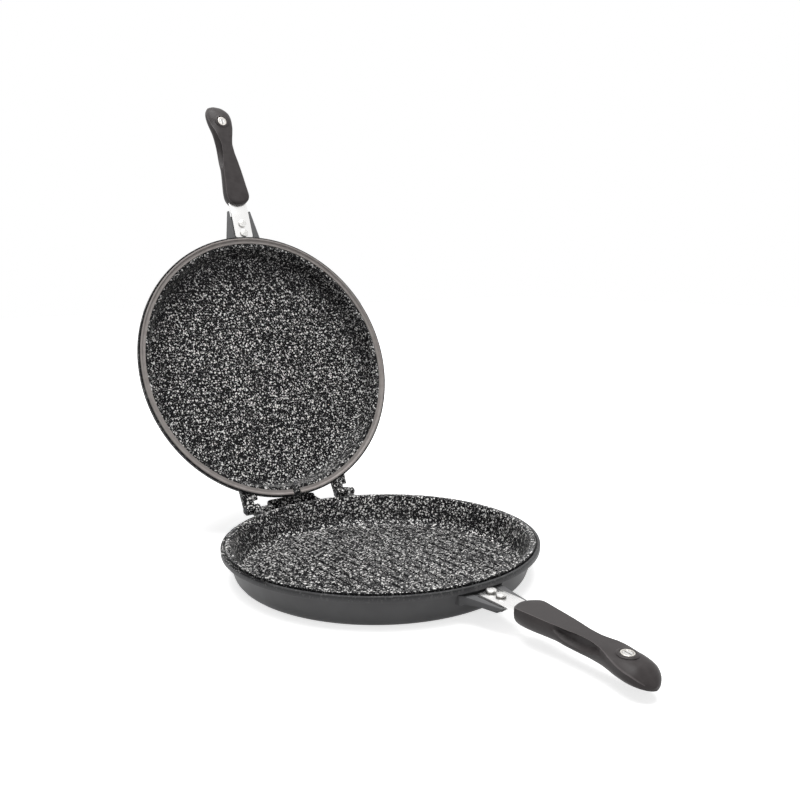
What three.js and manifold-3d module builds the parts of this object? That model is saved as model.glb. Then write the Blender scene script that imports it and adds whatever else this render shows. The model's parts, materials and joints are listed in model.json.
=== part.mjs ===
// Hinged double frying pan: two die-cast pans on two barrel hinges, each with a riveted strap and a half handle.
// Millimetres, +Z up. Origin: centre of the lower pan's base, on the surface. +X points to the lower handle.
// Each half is built in its own frame, with its rim plane at z = 0 and its bowl below; the upper half is turned over.

import * as THREE from 'three';
import { mergeVertices } from 'three/addons/utils/BufferGeometryUtils.js';
import { ParametricGeometry } from 'three/addons/geometries/ParametricGeometry.js';
import Module from 'manifold-3d';

// Pans
const rimRadius = 140;
const panDepth = 30;
const rimGap = 1;
const flangeThickness = 4.8;
const flangeEdgeRound = 0.7;
const flangeOverhang = 4.8;
const wallDraft = 0.331;
const baseFillet = 11.7;
const wallThickness = 4.3;
const lowerFloorThickness = 4.8;
const upperFloorThickness = 3.8;
const floorFillet = 9;

// Sealing bead and groove of the lower rim, measured in from the rim
const grooveInset = 2.6;
const grooveWidth = 1.1;
const grooveDepth = 1.3;
const beadWidth = 5.3;
const beadHeight = 1.6;
const beadOuterRound = 1;
const beadInnerRound = 2.2;

// Gasket channel of the upper rim, measured in from the rim
const channelInset = 1.4;
const channelWidth = 8;
const channelDepth = 3;
const channelLipWidth = 1.4;
const channelLipDrop = 1.6;
const gasketSealGap = 0.3;
const gasketOuterRidge = 1.4;
const gasketInnerRidge = 0.5;
const gasketInnerRidgeDrop = 0.6;
const gasketSlope = 1.1;
const drainTabWidth = 8;
const drainNotchWidth = 4.4;
const drainTabDrop = 1.5;

// Grill ribs of the lower floor
const ribPitch = 10;
const grillMargin = 15;
const ribGrooveWidth = 2.6;
const ribGrooveFloorWidth = 1.4;
const ribGrooveDepth = 1.1;

// Hinges
const hingeOffset = 6;
const hingeSpread = 104.4;
const hingeShift = -8.2;
const armWidth = 7.2;
const barrelWidth = 6.8;
const armEyeRadius = 4.8;
const barrelRadius = 5.4;
const bossRadius = 4.3;
const bossLength = 6.5;
const armDepth = 9;
const armTopDrop = 0.4;
const shoulderWidth = 8.8;
const shoulderClearance = 8.8;
const hingeSideGap = 0.3;
const pinRadius = 2.5;
const pinHeadRadius = 3.3;
const pinHeadThickness = 1.8;
const pinTail = 0.8;
const bridgeRise = 1.3;
const bridgeDepth = 8;
const bridgeBack = 3;
const bridgeFront = 6;
const lugDepth = 12;
const openAngle = THREE.MathUtils.degToRad(110);

// Stop that holds the open upper half: the arm's shoulder lands on a nose of the barrel
const noseStart = 2.2;
const noseEnd = 8;
const noseWidth = 4;

// Drip tray between the lugs
const trayWidth = 56;
const trayShift = -5;
const trayOverhang = 19;
const trayCornerRadius = 7;
const trayWall = 2.2;
const trayFloorThickness = 2.2;
const trayDepth = 10;
const trayRise = 2.2;
const sweepClearance = 0.8;

// Bracket under each rim
const shelfLength = 26;
const shelfThickness = 4.6;
const earLength = 32;
const earInset = 1.2;
const earTipWidth = 1.8;
const earRootWidth = 7.6;
const earRise = 0.9;
const earTipHeight = 2.4;
const earRootHeight = 7;

// Strap
const strapTopDrop = 5.6;
const strapThickness = 2;
const strapWidth = 20;
const strapStandoff = 1.4;
const strapCorner = 2.5;
const strapShoulderLength = 7;
const strapShoulderInset = 2.5;
const strapTongueWidth = 11;
const strapPastMagnet = 8;
const strapDroopAngle = 2.4;
const seatGap = 0.3;

// Rivets
const rivetOffset = 6;
const rivetPitch = 11;
const rivetRadius = 2.4;
const rivetHeadRadius = 4.1;
const rivetHeadHeight = 2.4;
const rivetTailRadius = 3.7;
const rivetTailHeight = 1.5;

// Half handle
const handleOffset = 38.5;
const handleLength = 120.5;
const handleFaceDrop = 0.7;
const handleWidth = 26.8;
const handleThickness = 15.4;
const handleFrontRound = 10;
const handleFrontSlope = 4.5;
const handleFrontDrop = 4;
const handleTailRound = 17;
const handleTailDrop = 12;
const handleEdgeDrop = 4.5;
const handleHollow = 2.4;

// Magnet in its raised collar, its screw, and the insert that the screw bites into
const magnetShare = 0.801;
const magnetRadius = 5.4;
const magnetProud = 0.3;
const magnetSeatGap = 0.4;
const magnetHoleRadius = 2.3;
const collarHeight = 0.9;
const collarTopWidth = 1.1;
const collarFootWidth = 2.4;
const screwHeadRadius = 3.3;
const screwHeadDrop = 0.3;
const screwRadius = 1.9;
const screwSlotWidth = 0.9;
const screwSlotDepth = 0.8;
const screwReach = 3.4;
const insertRadius = 3.6;
const insertKnurl = 0.3;
const insertLength = 3.8;

// Facets and cutting
const panFacets = 60;
const eyeFacets = 20;
const smallFacets = 16;
const filletSteps = 4;
const edgeSteps = 2;
const smallestFillet = 3;
const handleFacetsAround = 20;
const handleFacetsAlong = 24;
const overrun = 2;
const mergeTolerance = 1e-4;

// Worked out from the sizes above
const wallTopRadius = rimRadius - flangeOverhang;
const baseCornerRadius = wallTopRadius - wallDraft * (panDepth - flangeThickness);
const lowerFloor = lowerFloorThickness - panDepth;
const upperFloor = upperFloorThickness - panDepth;
const grooveOuterRadius = rimRadius - grooveInset;
const grooveInnerRadius = grooveOuterRadius - grooveWidth;
const beadInnerRadius = grooveInnerRadius - beadWidth;
const channelOuterRadius = rimRadius - channelInset;
const channelInnerRadius = channelOuterRadius - channelWidth;
const channelLipRadius = channelInnerRadius - channelLipWidth;
const hingeReach = rimRadius + hingeOffset;
const armStarts = [-1, 1].map((side) => hingeShift + (side * hingeSpread) / 2);
const strapTop = -strapTopDrop;
const strapBottom = strapTop - strapThickness;
const shelfTop = strapBottom - seatGap;
const shelfBottom = shelfTop - shelfThickness;
const strapBend = rimRadius + shelfLength;
const handleStart = rimRadius + handleOffset;
const magnetReach = handleStart + magnetShare * handleLength;
const strapEnd = magnetReach + strapPastMagnet;
const earInner = strapWidth / 2 + earInset;
const earRootOuter = earInner + earRootWidth;
const magnetTop = collarHeight + magnetProud - handleFaceDrop;
const insertTop = strapBottom - seatGap;
const insertBottom = insertTop - insertLength;
const screwEnd = insertTop - screwReach;

const wasm = await Module();
wasm.setup();

// A closed geometry becomes a solid: shared corners are merged, empty triangles dropped, faces turned outwards.
function solidOf(geometry) {
  const bare = new THREE.BufferGeometry();
  bare.setAttribute('position', geometry.getAttribute('position'));
  bare.setIndex(geometry.getIndex());
  const merged = mergeVertices(bare, mergeTolerance);
  const corners = merged.getAttribute('position').array;
  const index = merged.getIndex().array;
  const triangles = [];
  let volume = 0;
  for (let i = 0; i < index.length; i += 3) {
    const [a, b, c] = [index[i], index[i + 1], index[i + 2]];
    if (a === b || b === c || c === a) continue;
    triangles.push(a, b, c);
    const [pa, pb, pc] = [a, b, c].map((k) => new THREE.Vector3().fromArray(corners, 3 * k));
    volume += pa.dot(pb.cross(pc));
  }
  if (volume < 0) {
    for (let i = 0; i < triangles.length; i += 3) {
      [triangles[i], triangles[i + 1]] = [triangles[i + 1], triangles[i]];
    }
  }
  return new wasm.Manifold(new wasm.Mesh({
    numProp: 3,
    vertProperties: new Float32Array(corners),
    triVerts: new Uint32Array(triangles),
  }));
}

// A named mesh from a solid
function meshOf(name, solid, material) {
  const { vertProperties, triVerts } = solid.getMesh();
  const geometry = new THREE.BufferGeometry();
  geometry.setAttribute('position', new THREE.BufferAttribute(vertProperties, 3));
  geometry.setIndex(new THREE.BufferAttribute(triVerts, 1));
  geometry.computeVertexNormals();
  const mesh = new THREE.Mesh(geometry, material);
  mesh.name = name;
  return mesh;
}

// Replaces each corner [r, z, radius] of an outline by an arc that touches both its sides.
function rounded(corners) {
  const points = [];
  corners.forEach(([x, y, radius], i) => {
    const corner = new THREE.Vector2(x, y);
    if (!radius) {
      points.push(corner);
      return;
    }
    const before = new THREE.Vector2(...corners.at(i - 1)).sub(corner).normalize();
    const after = new THREE.Vector2(...corners[(i + 1) % corners.length]).sub(corner).normalize();
    const half = Math.acos(THREE.MathUtils.clamp(before.dot(after), -1, 1)) / 2;
    const centre = before.clone().add(after).normalize().multiplyScalar(radius / Math.sin(half)).add(corner);
    const start = corner.clone().addScaledVector(before, radius / Math.tan(half)).sub(centre);
    const end = corner.clone().addScaledVector(after, radius / Math.tan(half)).sub(centre);
    const turn = Math.atan2(start.cross(end), start.dot(end));
    const steps = radius < smallestFillet ? edgeSteps : filletSteps;
    for (let k = 0; k <= steps; k += 1) {
      const arm = start.clone().rotateAround(new THREE.Vector2(), (turn * k) / steps);
      points.push(arm.add(centre));
    }
  });
  return points;
}

// Turns an outline of [radius, height] corners about the Z axis.
function turned(corners, facets, closesOnItself = false) {
  const points = rounded(corners);
  if (closesOnItself) points.push(points[0].clone());
  return solidOf(new THREE.LatheGeometry(points, facets).rotateX(Math.PI / 2));
}

// Extrudes a plan outline of [x, y] corners from one height to another.
function plate(corners, bottom, top) {
  const shape = new THREE.Shape(rounded(corners));
  const geometry = new THREE.ExtrudeGeometry(shape, { depth: top - bottom, bevelEnabled: false });
  return solidOf(geometry.translate(0, 0, bottom));
}

// Extrudes a side outline of [x, z] corners across Y.
function slab(corners, start, end) {
  const shape = new THREE.Shape(rounded(corners));
  const geometry = new THREE.ExtrudeGeometry(shape, { depth: end - start, bevelEnabled: false });
  return solidOf(geometry.rotateX(Math.PI / 2).translate(0, end, 0));
}

// Extrudes a cross outline of [y, z] corners along X.
function bar(corners, start, end) {
  const shape = new THREE.Shape(rounded(corners));
  const geometry = new THREE.ExtrudeGeometry(shape, { depth: end - start, bevelEnabled: false });
  const axes = new THREE.Matrix4().makeBasis(
    new THREE.Vector3(0, 1, 0), new THREE.Vector3(0, 0, 1), new THREE.Vector3(1, 0, 0));
  return solidOf(geometry.applyMatrix4(axes).translate(start, 0, 0));
}

// A cylinder across Y, about a point of the XZ plane
function crossRod(radius, start, end, x, z) {
  const geometry = new THREE.CylinderGeometry(radius, radius, end - start, eyeFacets);
  return solidOf(geometry.translate(x, (start + end) / 2, z));
}

// A cylinder along Z
function post(radius, bottom, top, x) {
  const geometry = new THREE.CylinderGeometry(radius, radius, top - bottom, smallFacets).rotateX(Math.PI / 2);
  return solidOf(geometry.translate(x, 0, (bottom + top) / 2));
}

function joined(solids) {
  return solids.reduce((whole, solid) => whole.add(solid));
}

function cut(solid, cutters) {
  return cutters.reduce((left, cutter) => left.subtract(cutter), solid);
}

// Outside of a pan up to the rim, as one turned block: flat base, round foot, drafted wall, overhanging flange
function outerCorners() {
  return [
    [0, -panDepth],
    [baseCornerRadius, -panDepth, baseFillet],
    [wallTopRadius, -flangeThickness],
    [rimRadius, -flangeThickness, flangeEdgeRound],
    [rimRadius, 0, flangeEdgeRound],
  ];
}

// The hollow of a pan, from its floor to above its rim
function hollow(floor, mouthCorners) {
  const [mouthRadius, mouthHeight] = mouthCorners[mouthCorners.length - 1];
  const floorCornerRadius = baseCornerRadius + wallDraft * (floor + panDepth) - wallThickness;
  return turned([
    [0, floor],
    [floorCornerRadius, floor, floorFillet],
    ...mouthCorners,
    [mouthRadius, mouthHeight + overrun],
    [0, mouthHeight + overrun],
  ], panFacets);
}

// Distance along X at which the middle of the wall passes a given height and distance from the X axis
function wallAt(y, z) {
  const radius = wallTopRadius + wallDraft * (z + flangeThickness) - wallThickness / 2;
  return Math.sqrt(radius ** 2 - y ** 2);
}

// Shelf with two tapered ears that stand beside the strap
function bracket() {
  const earTop = shelfTop + earRise;
  const earBottom = earTop - earRootHeight;
  const root = wallAt(earRootOuter, earBottom);
  const shelfEnd = rimRadius + shelfLength;
  const earEnd = rimRadius + earLength;
  const shelf = plate([
    [root, -earRootOuter],
    [rimRadius, -earRootOuter],
    [shelfEnd, -earInner],
    [shelfEnd, earInner],
    [rimRadius, earRootOuter],
    [root, earRootOuter],
  ], shelfBottom, shelfTop);
  const ears = [-1, 1].map((side) => {
    const plan = [
      [root, side * earInner],
      [earEnd, side * earInner],
      [earEnd, side * (earInner + earTipWidth)],
      [rimRadius, side * earRootOuter],
      [root, side * earRootOuter],
    ];
    const sideView = slab([
      [root, earBottom],
      [earEnd, earTop - earTipHeight],
      [earEnd, earTop],
      [root, earTop],
    ], -earRootOuter - overrun, earRootOuter + overrun);
    return plate(side > 0 ? plan : plan.reverse(), earBottom, earTop).intersect(sideView);
  });
  return joined([shelf, ...ears]);
}

function rivetPlaces() {
  const first = rimRadius + rivetOffset;
  return [first, first + rivetPitch];
}

function rivetHoles() {
  return rivetPlaces().map((x) => post(rivetRadius + seatGap, shelfBottom - overrun, strapTop + overrun, x));
}

// Shallow grooves along X leave flat ribs between them on the lower pan's floor.
function grillGrooves() {
  const grillRadius = baseCornerRadius - grillMargin;
  const count = Math.floor(grillRadius / ribPitch);
  const foot = ribGrooveFloorWidth / 2;
  const mouth = ribGrooveWidth - foot;
  return Array.from({ length: 2 * count + 1 }, (_, k) => {
    const y = (k - count) * ribPitch;
    const reach = Math.sqrt(grillRadius ** 2 - y ** 2);
    return bar([
      [y - foot, lowerFloor - ribGrooveDepth],
      [y + foot, lowerFloor - ribGrooveDepth],
      [y + mouth, lowerFloor + ribGrooveDepth],
      [y - mouth, lowerFloor + ribGrooveDepth],
    ], -reach, reach);
  });
}

// Nose on the back of the barrel: its flat top faces the shoulder of the open arm.
function stopNose(start) {
  const across = new THREE.Vector2(1, 0).rotateAround(new THREE.Vector2(), openAngle);
  const along = new THREE.Vector2(0, 1).rotateAround(new THREE.Vector2(), openAngle);
  const top = shoulderClearance - seatGap;
  const corners = [[noseStart, 0], [noseStart, top], [noseEnd, top], [noseEnd, 0]].map(([run, rise]) => {
    const point = across.clone().multiplyScalar(rise).addScaledVector(along, run);
    return [point.x - hingeReach, point.y];
  });
  return slab(corners, start, start + noseWidth);
}

// Lug with a barrel for the pin, the nose that stops the open arm, and what stands on the barrel's far side
function hingeLug(armStart, farSide) {
  const start = armStart + armWidth + hingeSideGap;
  const end = start + barrelWidth;
  const root = -wallAt(hingeSpread / 2 + Math.abs(hingeShift), -lugDepth);
  const web = slab([
    [-hingeReach, 0],
    [-hingeReach, -barrelRadius],
    [root, -lugDepth],
    [root, 0],
  ], start, end);
  const barrel = crossRod(barrelRadius, start, end, -hingeReach, 0);
  return joined([barrel, web, stopNose(start), farSide(end)]);
}

// Short boss that carries the outer lug's pin on past its barrel
function boss(barrelEnd) {
  return crossRod(bossRadius, barrelEnd - seatGap, barrelEnd + bossLength, -hingeReach, 0);
}

// Low wall that ties the other lug to the drip tray
function bridge(barrelEnd) {
  return slab([
    [-hingeReach - bridgeBack, bridgeRise],
    [-hingeReach - bridgeBack, -bridgeDepth],
    [bridgeFront - hingeReach, -bridgeDepth],
    [bridgeFront - hingeReach, bridgeRise],
  ], barrelEnd - seatGap, trayShift - trayWidth / 2 + trayWall / 2);
}

// Drip tray behind the rim, its inner side cut down below the path of the upper rim
function dripTray() {
  const start = trayShift - trayWidth / 2;
  const end = trayShift + trayWidth / 2;
  const root = -wallAt(Math.max(-start, end), -trayDepth);
  const back = -rimRadius - trayOverhang;
  const outline = (inset) => [
    [root, start + inset],
    [root, end - inset],
    [back + inset, end - inset, trayCornerRadius - inset],
    [back + inset, start + inset, trayCornerRadius - inset],
  ];
  const block = plate(outline(0).reverse(), -trayDepth, trayRise);
  const trough = plate(outline(trayWall).reverse(), trayFloorThickness - trayDepth, trayRise + overrun);
  const sweep = Math.hypot(hingeOffset, rimGap + flangeThickness) + sweepClearance;
  const path = slab([
    [-hingeReach - sweep, 0],
    [root + overrun, 0],
    [root + overrun, trayRise + overrun],
    [-hingeReach - sweep, trayRise + overrun],
  ], start - overrun, end + overrun);
  return cut(block, [trough, path]);
}

function lowerPan() {
  const block = turned([
    ...outerCorners(),
    [grooveInnerRadius, 0],
    [grooveInnerRadius, beadHeight, beadOuterRound],
    [0, beadHeight],
  ], panFacets);
  const groove = turned([
    [grooveInnerRadius, -grooveDepth],
    [grooveOuterRadius, -grooveDepth],
    [grooveOuterRadius, overrun],
    [grooveInnerRadius, overrun],
  ], panFacets, true);
  const bowl = hollow(lowerFloor, [
    [beadInnerRadius, beadHeight - beadInnerRound],
    [beadInnerRadius, beadHeight],
  ]);
  const mouthRound = turned([
    [0, beadHeight - beadInnerRound],
    [beadInnerRadius, beadHeight - beadInnerRound],
    [beadInnerRadius + beadInnerRound, beadHeight],
    [0, beadHeight],
  ], panFacets);
  const pinHoles = crossRod(pinRadius + seatGap, -rimRadius, rimRadius, -hingeReach, 0);
  const lugs = [hingeLug(armStarts[0], bridge), hingeLug(armStarts[1], boss)];
  const body = joined([block, bracket(), dripTray(), ...lugs]);
  return cut(body, [bowl, mouthRound, groove, pinHoles, ...rivetHoles(), ...grillGrooves()]);
}

// Arm of the upper pan in its own frame, where Y runs the other way, with a shoulder beside it over the barrel
function hingeArm(armStart) {
  const start = -armStart - armWidth;
  const end = -armStart;
  const root = -wallAt(hingeSpread / 2 + Math.abs(hingeShift), -armDepth);
  const eye = crossRod(armEyeRadius, start, end, -hingeReach, rimGap);
  const web = slab([
    [-hingeReach, -armTopDrop],
    [-hingeReach - armEyeRadius / 2, rimGap - armEyeRadius],
    [root, -armDepth],
    [root, -armTopDrop],
  ], start, end);
  const shoulder = slab([
    [shoulderClearance - hingeReach, -armTopDrop],
    [shoulderClearance - hingeReach, armTopDrop - armDepth],
    [root, armTopDrop - armDepth],
    [root, -armTopDrop],
  ], start - shoulderWidth, start + overrun);
  return joined([eye, web, shoulder]);
}

// Tab that closes the ring of the gasket
function drainTab() {
  return slab([
    [-channelOuterRadius - seatGap, -drainTabDrop],
    [-channelOuterRadius - seatGap, -flangeThickness],
    [-channelLipRadius, -flangeThickness],
    [-channelLipRadius, -drainTabDrop],
  ], -drainTabWidth / 2, drainTabWidth / 2);
}

// Notch across the tab and the rim that lets condensed water run into the tray
function drainNotch() {
  const half = drainNotchWidth / 2;
  return plate([
    [-rimRadius - overrun, -half],
    [overrun - channelLipRadius, -half],
    [overrun - channelLipRadius, half],
    [-rimRadius - overrun, half],
  ], -drainTabDrop - channelLipDrop / 2, overrun);
}

function upperPan() {
  const block = turned([...outerCorners(), [0, 0]], panFacets);
  const bowl = hollow(upperFloor, [[channelLipRadius, -channelLipDrop]]);
  const channel = turned([
    [channelLipRadius, -channelLipDrop],
    [channelInnerRadius, -channelLipDrop],
    [channelInnerRadius, -channelDepth],
    [channelOuterRadius, -channelDepth],
    [channelOuterRadius, overrun],
    [channelLipRadius, overrun],
  ], panFacets, true);
  const pinHoles = crossRod(pinRadius + seatGap, -rimRadius, rimRadius, -hingeReach, rimGap);
  const body = joined([block, bracket(), ...armStarts.map(hingeArm)]);
  const shell = cut(body, [bowl, channel, pinHoles, ...rivetHoles()]);
  return shell.add(drainTab()).subtract(drainNotch());
}

// Silicone ring with a raised edge on each side of a hollow face, which settles on the lower bead
function gasket() {
  const outer = channelOuterRadius - seatGap;
  const inner = channelInnerRadius + seatGap;
  const back = seatGap - channelDepth;
  const proud = rimGap - gasketSealGap;
  const seat = proud - beadHeight;
  const ring = turned([
    [inner, back],
    [outer, back],
    [outer, proud],
    [outer - gasketOuterRidge, proud],
    [outer - gasketOuterRidge - gasketSlope, seat],
    [inner + gasketInnerRidge + gasketSlope, seat],
    [inner + gasketInnerRidge, -gasketInnerRidgeDrop],
    [inner, -gasketInnerRidgeDrop],
  ], panFacets, true);
  const half = drainTabWidth / 2 + seatGap;
  const gap = plate([
    [-rimRadius, -half],
    [overrun - channelInnerRadius, -half],
    [overrun - channelInnerRadius, half],
    [-rimRadius, half],
  ], -channelDepth - overrun, overrun);
  return ring.subtract(gap);
}

// Plan outline of the strap, wide at the rivets and necked to a tongue inside the handle, widened by a clearance
function strapCorners(start, clearance, cornerRound) {
  const wide = strapWidth / 2 + clearance;
  const tongue = strapTongueWidth / 2 + clearance;
  const neckStart = handleStart + strapShoulderInset + clearance;
  const neckEnd = neckStart + strapShoulderLength;
  const end = strapEnd + clearance;
  return [
    [start, -wide, cornerRound],
    [neckStart, -wide],
    [neckEnd, -tongue],
    [end, -tongue, tongue / 2],
    [end, tongue, tongue / 2],
    [neckEnd, tongue],
    [neckStart, wide],
    [start, wide, cornerRound],
  ];
}

// Tips a piece down by the strap's droop, about the line where the strap leaves its shelf.
function drooped(solid) {
  return solid
    .translate([-strapBend, 0, -strapTop])
    .rotate([0, strapDroopAngle, 0])
    .translate([strapBend, 0, strapTop]);
}

function strap() {
  const corners = strapCorners(rimRadius + strapStandoff, 0, strapCorner);
  const screwHole = post(screwRadius + seatGap, strapBottom - overrun, strapTop + overrun, magnetReach);
  const blank = cut(plate(corners, strapBottom, strapTop), [...rivetHoles(), screwHole]);
  const beyondBend = plate([
    [strapBend, -strapWidth],
    [strapEnd + overrun, -strapWidth],
    [strapEnd + overrun, strapWidth],
    [strapBend, strapWidth],
  ], strapBottom - overrun, strapTop + overrun);
  return blank.subtract(beyondBend).add(drooped(blank.intersect(beyondBend)));
}

// Rivet with a low domed head over the strap and a formed tail under the shelf
function rivet(x) {
  const seat = strapTop + seatGap;
  const tail = shelfBottom - seatGap;
  return turned([
    [0, tail - rivetTailHeight],
    [rivetTailRadius, tail - rivetTailHeight, rivetTailHeight / 2],
    [rivetTailRadius, tail],
    [rivetRadius, tail],
    [rivetRadius, seat],
    [rivetHeadRadius, seat],
    [rivetHeadRadius, seat + rivetHeadHeight, rivetHeadHeight / 2],
    [0, seat + rivetHeadHeight],
  ], smallFacets).translate([x, 0, 0]);
}

// Rows of [place along the handle, share there of the half width, thickness or drop that the name states]
const faceWidthShares = [
  [0, 0.98], [0.08, 0.97], [0.17, 0.89], [0.29, 0.78], [0.41, 0.64], [0.5, 0.51],
  [0.57, 0.48], [0.63, 0.57], [0.7, 0.74], [0.76, 0.9], [0.85, 1.03], [1, 1.04],
];
const ridgeWidthShares = [[0, 1], [0.1, 1], [0.25, 0.88], [0.42, 0.74], [0.55, 0.68], [0.7, 0.83], [0.85, 1.02], [1, 1.04]];
const ridgeDepthShares = [[0, 0.3], [0.3, 0.26], [0.42, 0.6], [0.58, 0.62], [0.7, 0.4], [0.8, 0.3], [1, 0.3]];
const thicknessShares = [[0, 0.95], [0.12, 1], [0.4, 0.89], [0.6, 0.88], [0.8, 0.96], [0.92, 0.98], [1, 0.97]];
const hollowShares = [[0.34, 0], [0.42, 1], [0.58, 1], [0.7, 0]];
const edgeDropShares = [[0.66, 0], [0.86, 1], [1, 1]];
const tailDropShares = [[0.82, 0], [0.9, 0.14], [0.96, 0.5], [1, 1]];
const bellyRiseShare = 0.65;
const faceShare = 0.25;
const sideShare = 0.25;
const frontPower = 2.4;
const tailPower = 2.1;
const bellyPower = 0.8;

// Value of such a table at one place along the handle, eased between its rows
function shareAt(shares, place) {
  const last = shares.length - 1;
  if (place <= shares[0][0]) return shares[0][1];
  if (place >= shares[last][0]) return shares[last][1];
  const next = shares.findIndex(([at]) => at > place);
  const [from, before] = shares[next - 1];
  const [to, after] = shares[next];
  return THREE.MathUtils.lerp(before, after, (place - from) / (to - from));
}

// How full a rounded end is: 0 at its tip, 1 where the round runs out
function fullness(distance, length, power) {
  const left = THREE.MathUtils.clamp(1 - distance / length, 0, 1);
  return Math.sqrt(1 - left ** power);
}

// Half of the handle's cross section at one place: middle of the face, crease, ridge, middle of the belly
function handleSection(x) {
  const place = (x - handleStart) / handleLength;
  const front = fullness(x - handleStart, handleFrontRound, frontPower);
  const tail = fullness(handleStart + handleLength - x, handleTailRound, tailPower);
  const half = (handleWidth / 2) * front * tail;
  const brow = handleFrontDrop * (1 - fullness(x - handleStart, handleFrontSlope, frontPower));
  const face = -handleFaceDrop - brow - handleTailDrop * shareAt(tailDropShares, place);
  const crease = face - handleEdgeDrop * shareAt(edgeDropShares, place) * tail;
  const fullBelly = -handleFaceDrop - handleThickness * shareAt(thicknessShares, place);
  const belly = THREE.MathUtils.lerp(Math.min(crease, fullBelly), fullBelly, 1 - bellyRiseShare * (1 - front * tail));
  return {
    face,
    crease,
    creaseHalf: half * shareAt(faceWidthShares, place),
    ridge: THREE.MathUtils.lerp(crease, belly, shareAt(ridgeDepthShares, place)),
    ridgeHalf: half * shareAt(ridgeWidthShares, place),
    hollow: handleHollow * shareAt(hollowShares, place),
    belly,
  };
}

// One point of the handle's skin. Around runs from the middle of the face over one side to the belly and back.
function handlePoint(around, along, target) {
  const x = handleStart + (handleLength * (1 - Math.cos(Math.PI * along))) / 2;
  const section = handleSection(x);
  const side = around <= 1 / 2 ? 1 : -1;
  const turn = 2 * Math.min(around, 1 - around);
  let y;
  let z;
  if (turn <= faceShare) {
    const share = turn / faceShare;
    y = section.creaseHalf * share;
    z = THREE.MathUtils.lerp(section.face, section.crease, share ** 2);
  } else if (turn <= faceShare + sideShare) {
    const share = (turn - faceShare) / sideShare;
    y = THREE.MathUtils.lerp(section.creaseHalf, section.ridgeHalf, share) - section.hollow * Math.sin(Math.PI * share);
    z = THREE.MathUtils.lerp(section.crease, section.ridge, share);
  } else {
    const angle = ((turn - faceShare - sideShare) / (1 - faceShare - sideShare)) * (Math.PI / 2);
    y = section.ridgeHalf * Math.max(0, Math.cos(angle)) ** bellyPower;
    z = THREE.MathUtils.lerp(section.ridge, section.belly, Math.sin(angle) ** bellyPower);
  }
  target.set(x, side * y, z);
}

// Raised collar on the face, around the magnet
function collar() {
  const top = magnetRadius + magnetSeatGap + collarTopWidth;
  return turned([
    [0, strapTop],
    [magnetRadius + magnetSeatGap + collarFootWidth, strapTop],
    [magnetRadius + magnetSeatGap + collarFootWidth, -handleFaceDrop],
    [top, collarHeight - handleFaceDrop],
    [0, collarHeight - handleFaceDrop],
  ], eyeFacets).translate([magnetReach, 0, 0]);
}

function handle() {
  const skin = solidOf(new ParametricGeometry(handlePoint, handleFacetsAround, handleFacetsAlong));
  const slot = plate(strapCorners(handleStart - overrun, seatGap, 0), strapBottom - seatGap, strapTop + seatGap);
  const well = post(magnetRadius + magnetSeatGap, strapTop, magnetTop + overrun, magnetReach);
  const insertHole = post(insertRadius + seatGap, Math.min(insertBottom, screwEnd) - seatGap, strapBottom, magnetReach);
  return drooped(cut(skin.add(collar()), [slot, well, insertHole]));
}

// Ring magnet with a countersunk hole
function magnet() {
  const bottom = strapTop + seatGap;
  const headBottom = magnetTop - screwHeadDrop - (screwHeadRadius - screwRadius);
  const ring = turned([
    [magnetHoleRadius, bottom],
    [magnetRadius, bottom],
    [magnetRadius, magnetTop, magnetSeatGap],
    [screwHeadRadius + seatGap, magnetTop],
    [screwHeadRadius + seatGap, magnetTop - screwHeadDrop],
    [magnetHoleRadius, headBottom],
  ], smallFacets, true);
  return drooped(ring.translate([magnetReach, 0, 0]));
}

// Countersunk screw with a straight slot
function magnetScrew() {
  const top = magnetTop - screwHeadDrop;
  const body = turned([
    [0, screwEnd],
    [screwRadius, screwEnd],
    [screwRadius, top - (screwHeadRadius - screwRadius)],
    [screwHeadRadius, top],
    [0, top],
  ], smallFacets);
  const half = screwSlotWidth / 2;
  const slot = plate([
    [-screwHeadRadius - overrun, -half],
    [screwHeadRadius + overrun, -half],
    [screwHeadRadius + overrun, half],
    [-screwHeadRadius - overrun, half],
  ], top - screwSlotDepth, top + overrun);
  return drooped(body.subtract(slot).translate([magnetReach, 0, 0]));
}

// Knurled insert: its outline alternates between two radii
function insert() {
  const teeth = Array.from({ length: smallFacets }, (_, k) => {
    const angle = (2 * Math.PI * k) / smallFacets;
    const radius = k % 2 ? insertRadius - insertKnurl : insertRadius;
    return [radius * Math.cos(angle), radius * Math.sin(angle)];
  });
  const body = plate(teeth, insertBottom, insertTop).translate([magnetReach, 0, 0]);
  const thread = post(screwRadius + seatGap, insertBottom - overrun, insertTop + overrun, magnetReach);
  return drooped(body.subtract(thread));
}

// Pin along Y: domed head on the arm's outer face, shank through arm, barrel and what stands beyond it
function hingePin(armStart, reachPastBarrel) {
  const seat = armStart - seatGap;
  const end = armStart + armWidth + hingeSideGap + barrelWidth + reachPastBarrel + pinTail;
  const outline = rounded([
    [0, seat - pinHeadThickness],
    [pinHeadRadius, seat - pinHeadThickness, pinHeadThickness / 2],
    [pinHeadRadius, seat],
    [pinRadius, seat],
    [pinRadius, end, pinTail / 2],
    [0, end],
  ]);
  const geometry = new THREE.LatheGeometry(outline, smallFacets).rotateX(Math.PI);
  return solidOf(geometry.translate(-hingeReach, 0, rimGap));
}

const finish = (color, roughness, metalness) => new THREE.MeshStandardMaterial({ color, roughness, metalness });
const coatedCasting = finish(0x3c3c3e, 0.45, 0.1);
const bakelite = finish(0x2b2929, 0.55, 0);
const steel = finish(0xc9c9c7, 0.3, 1);
const nickel = finish(0xd6d4d0, 0.2, 1);
const brass = finish(0xb08d4a, 0.35, 1);
const silicone = finish(0x857d78, 0.6, 0);

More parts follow.
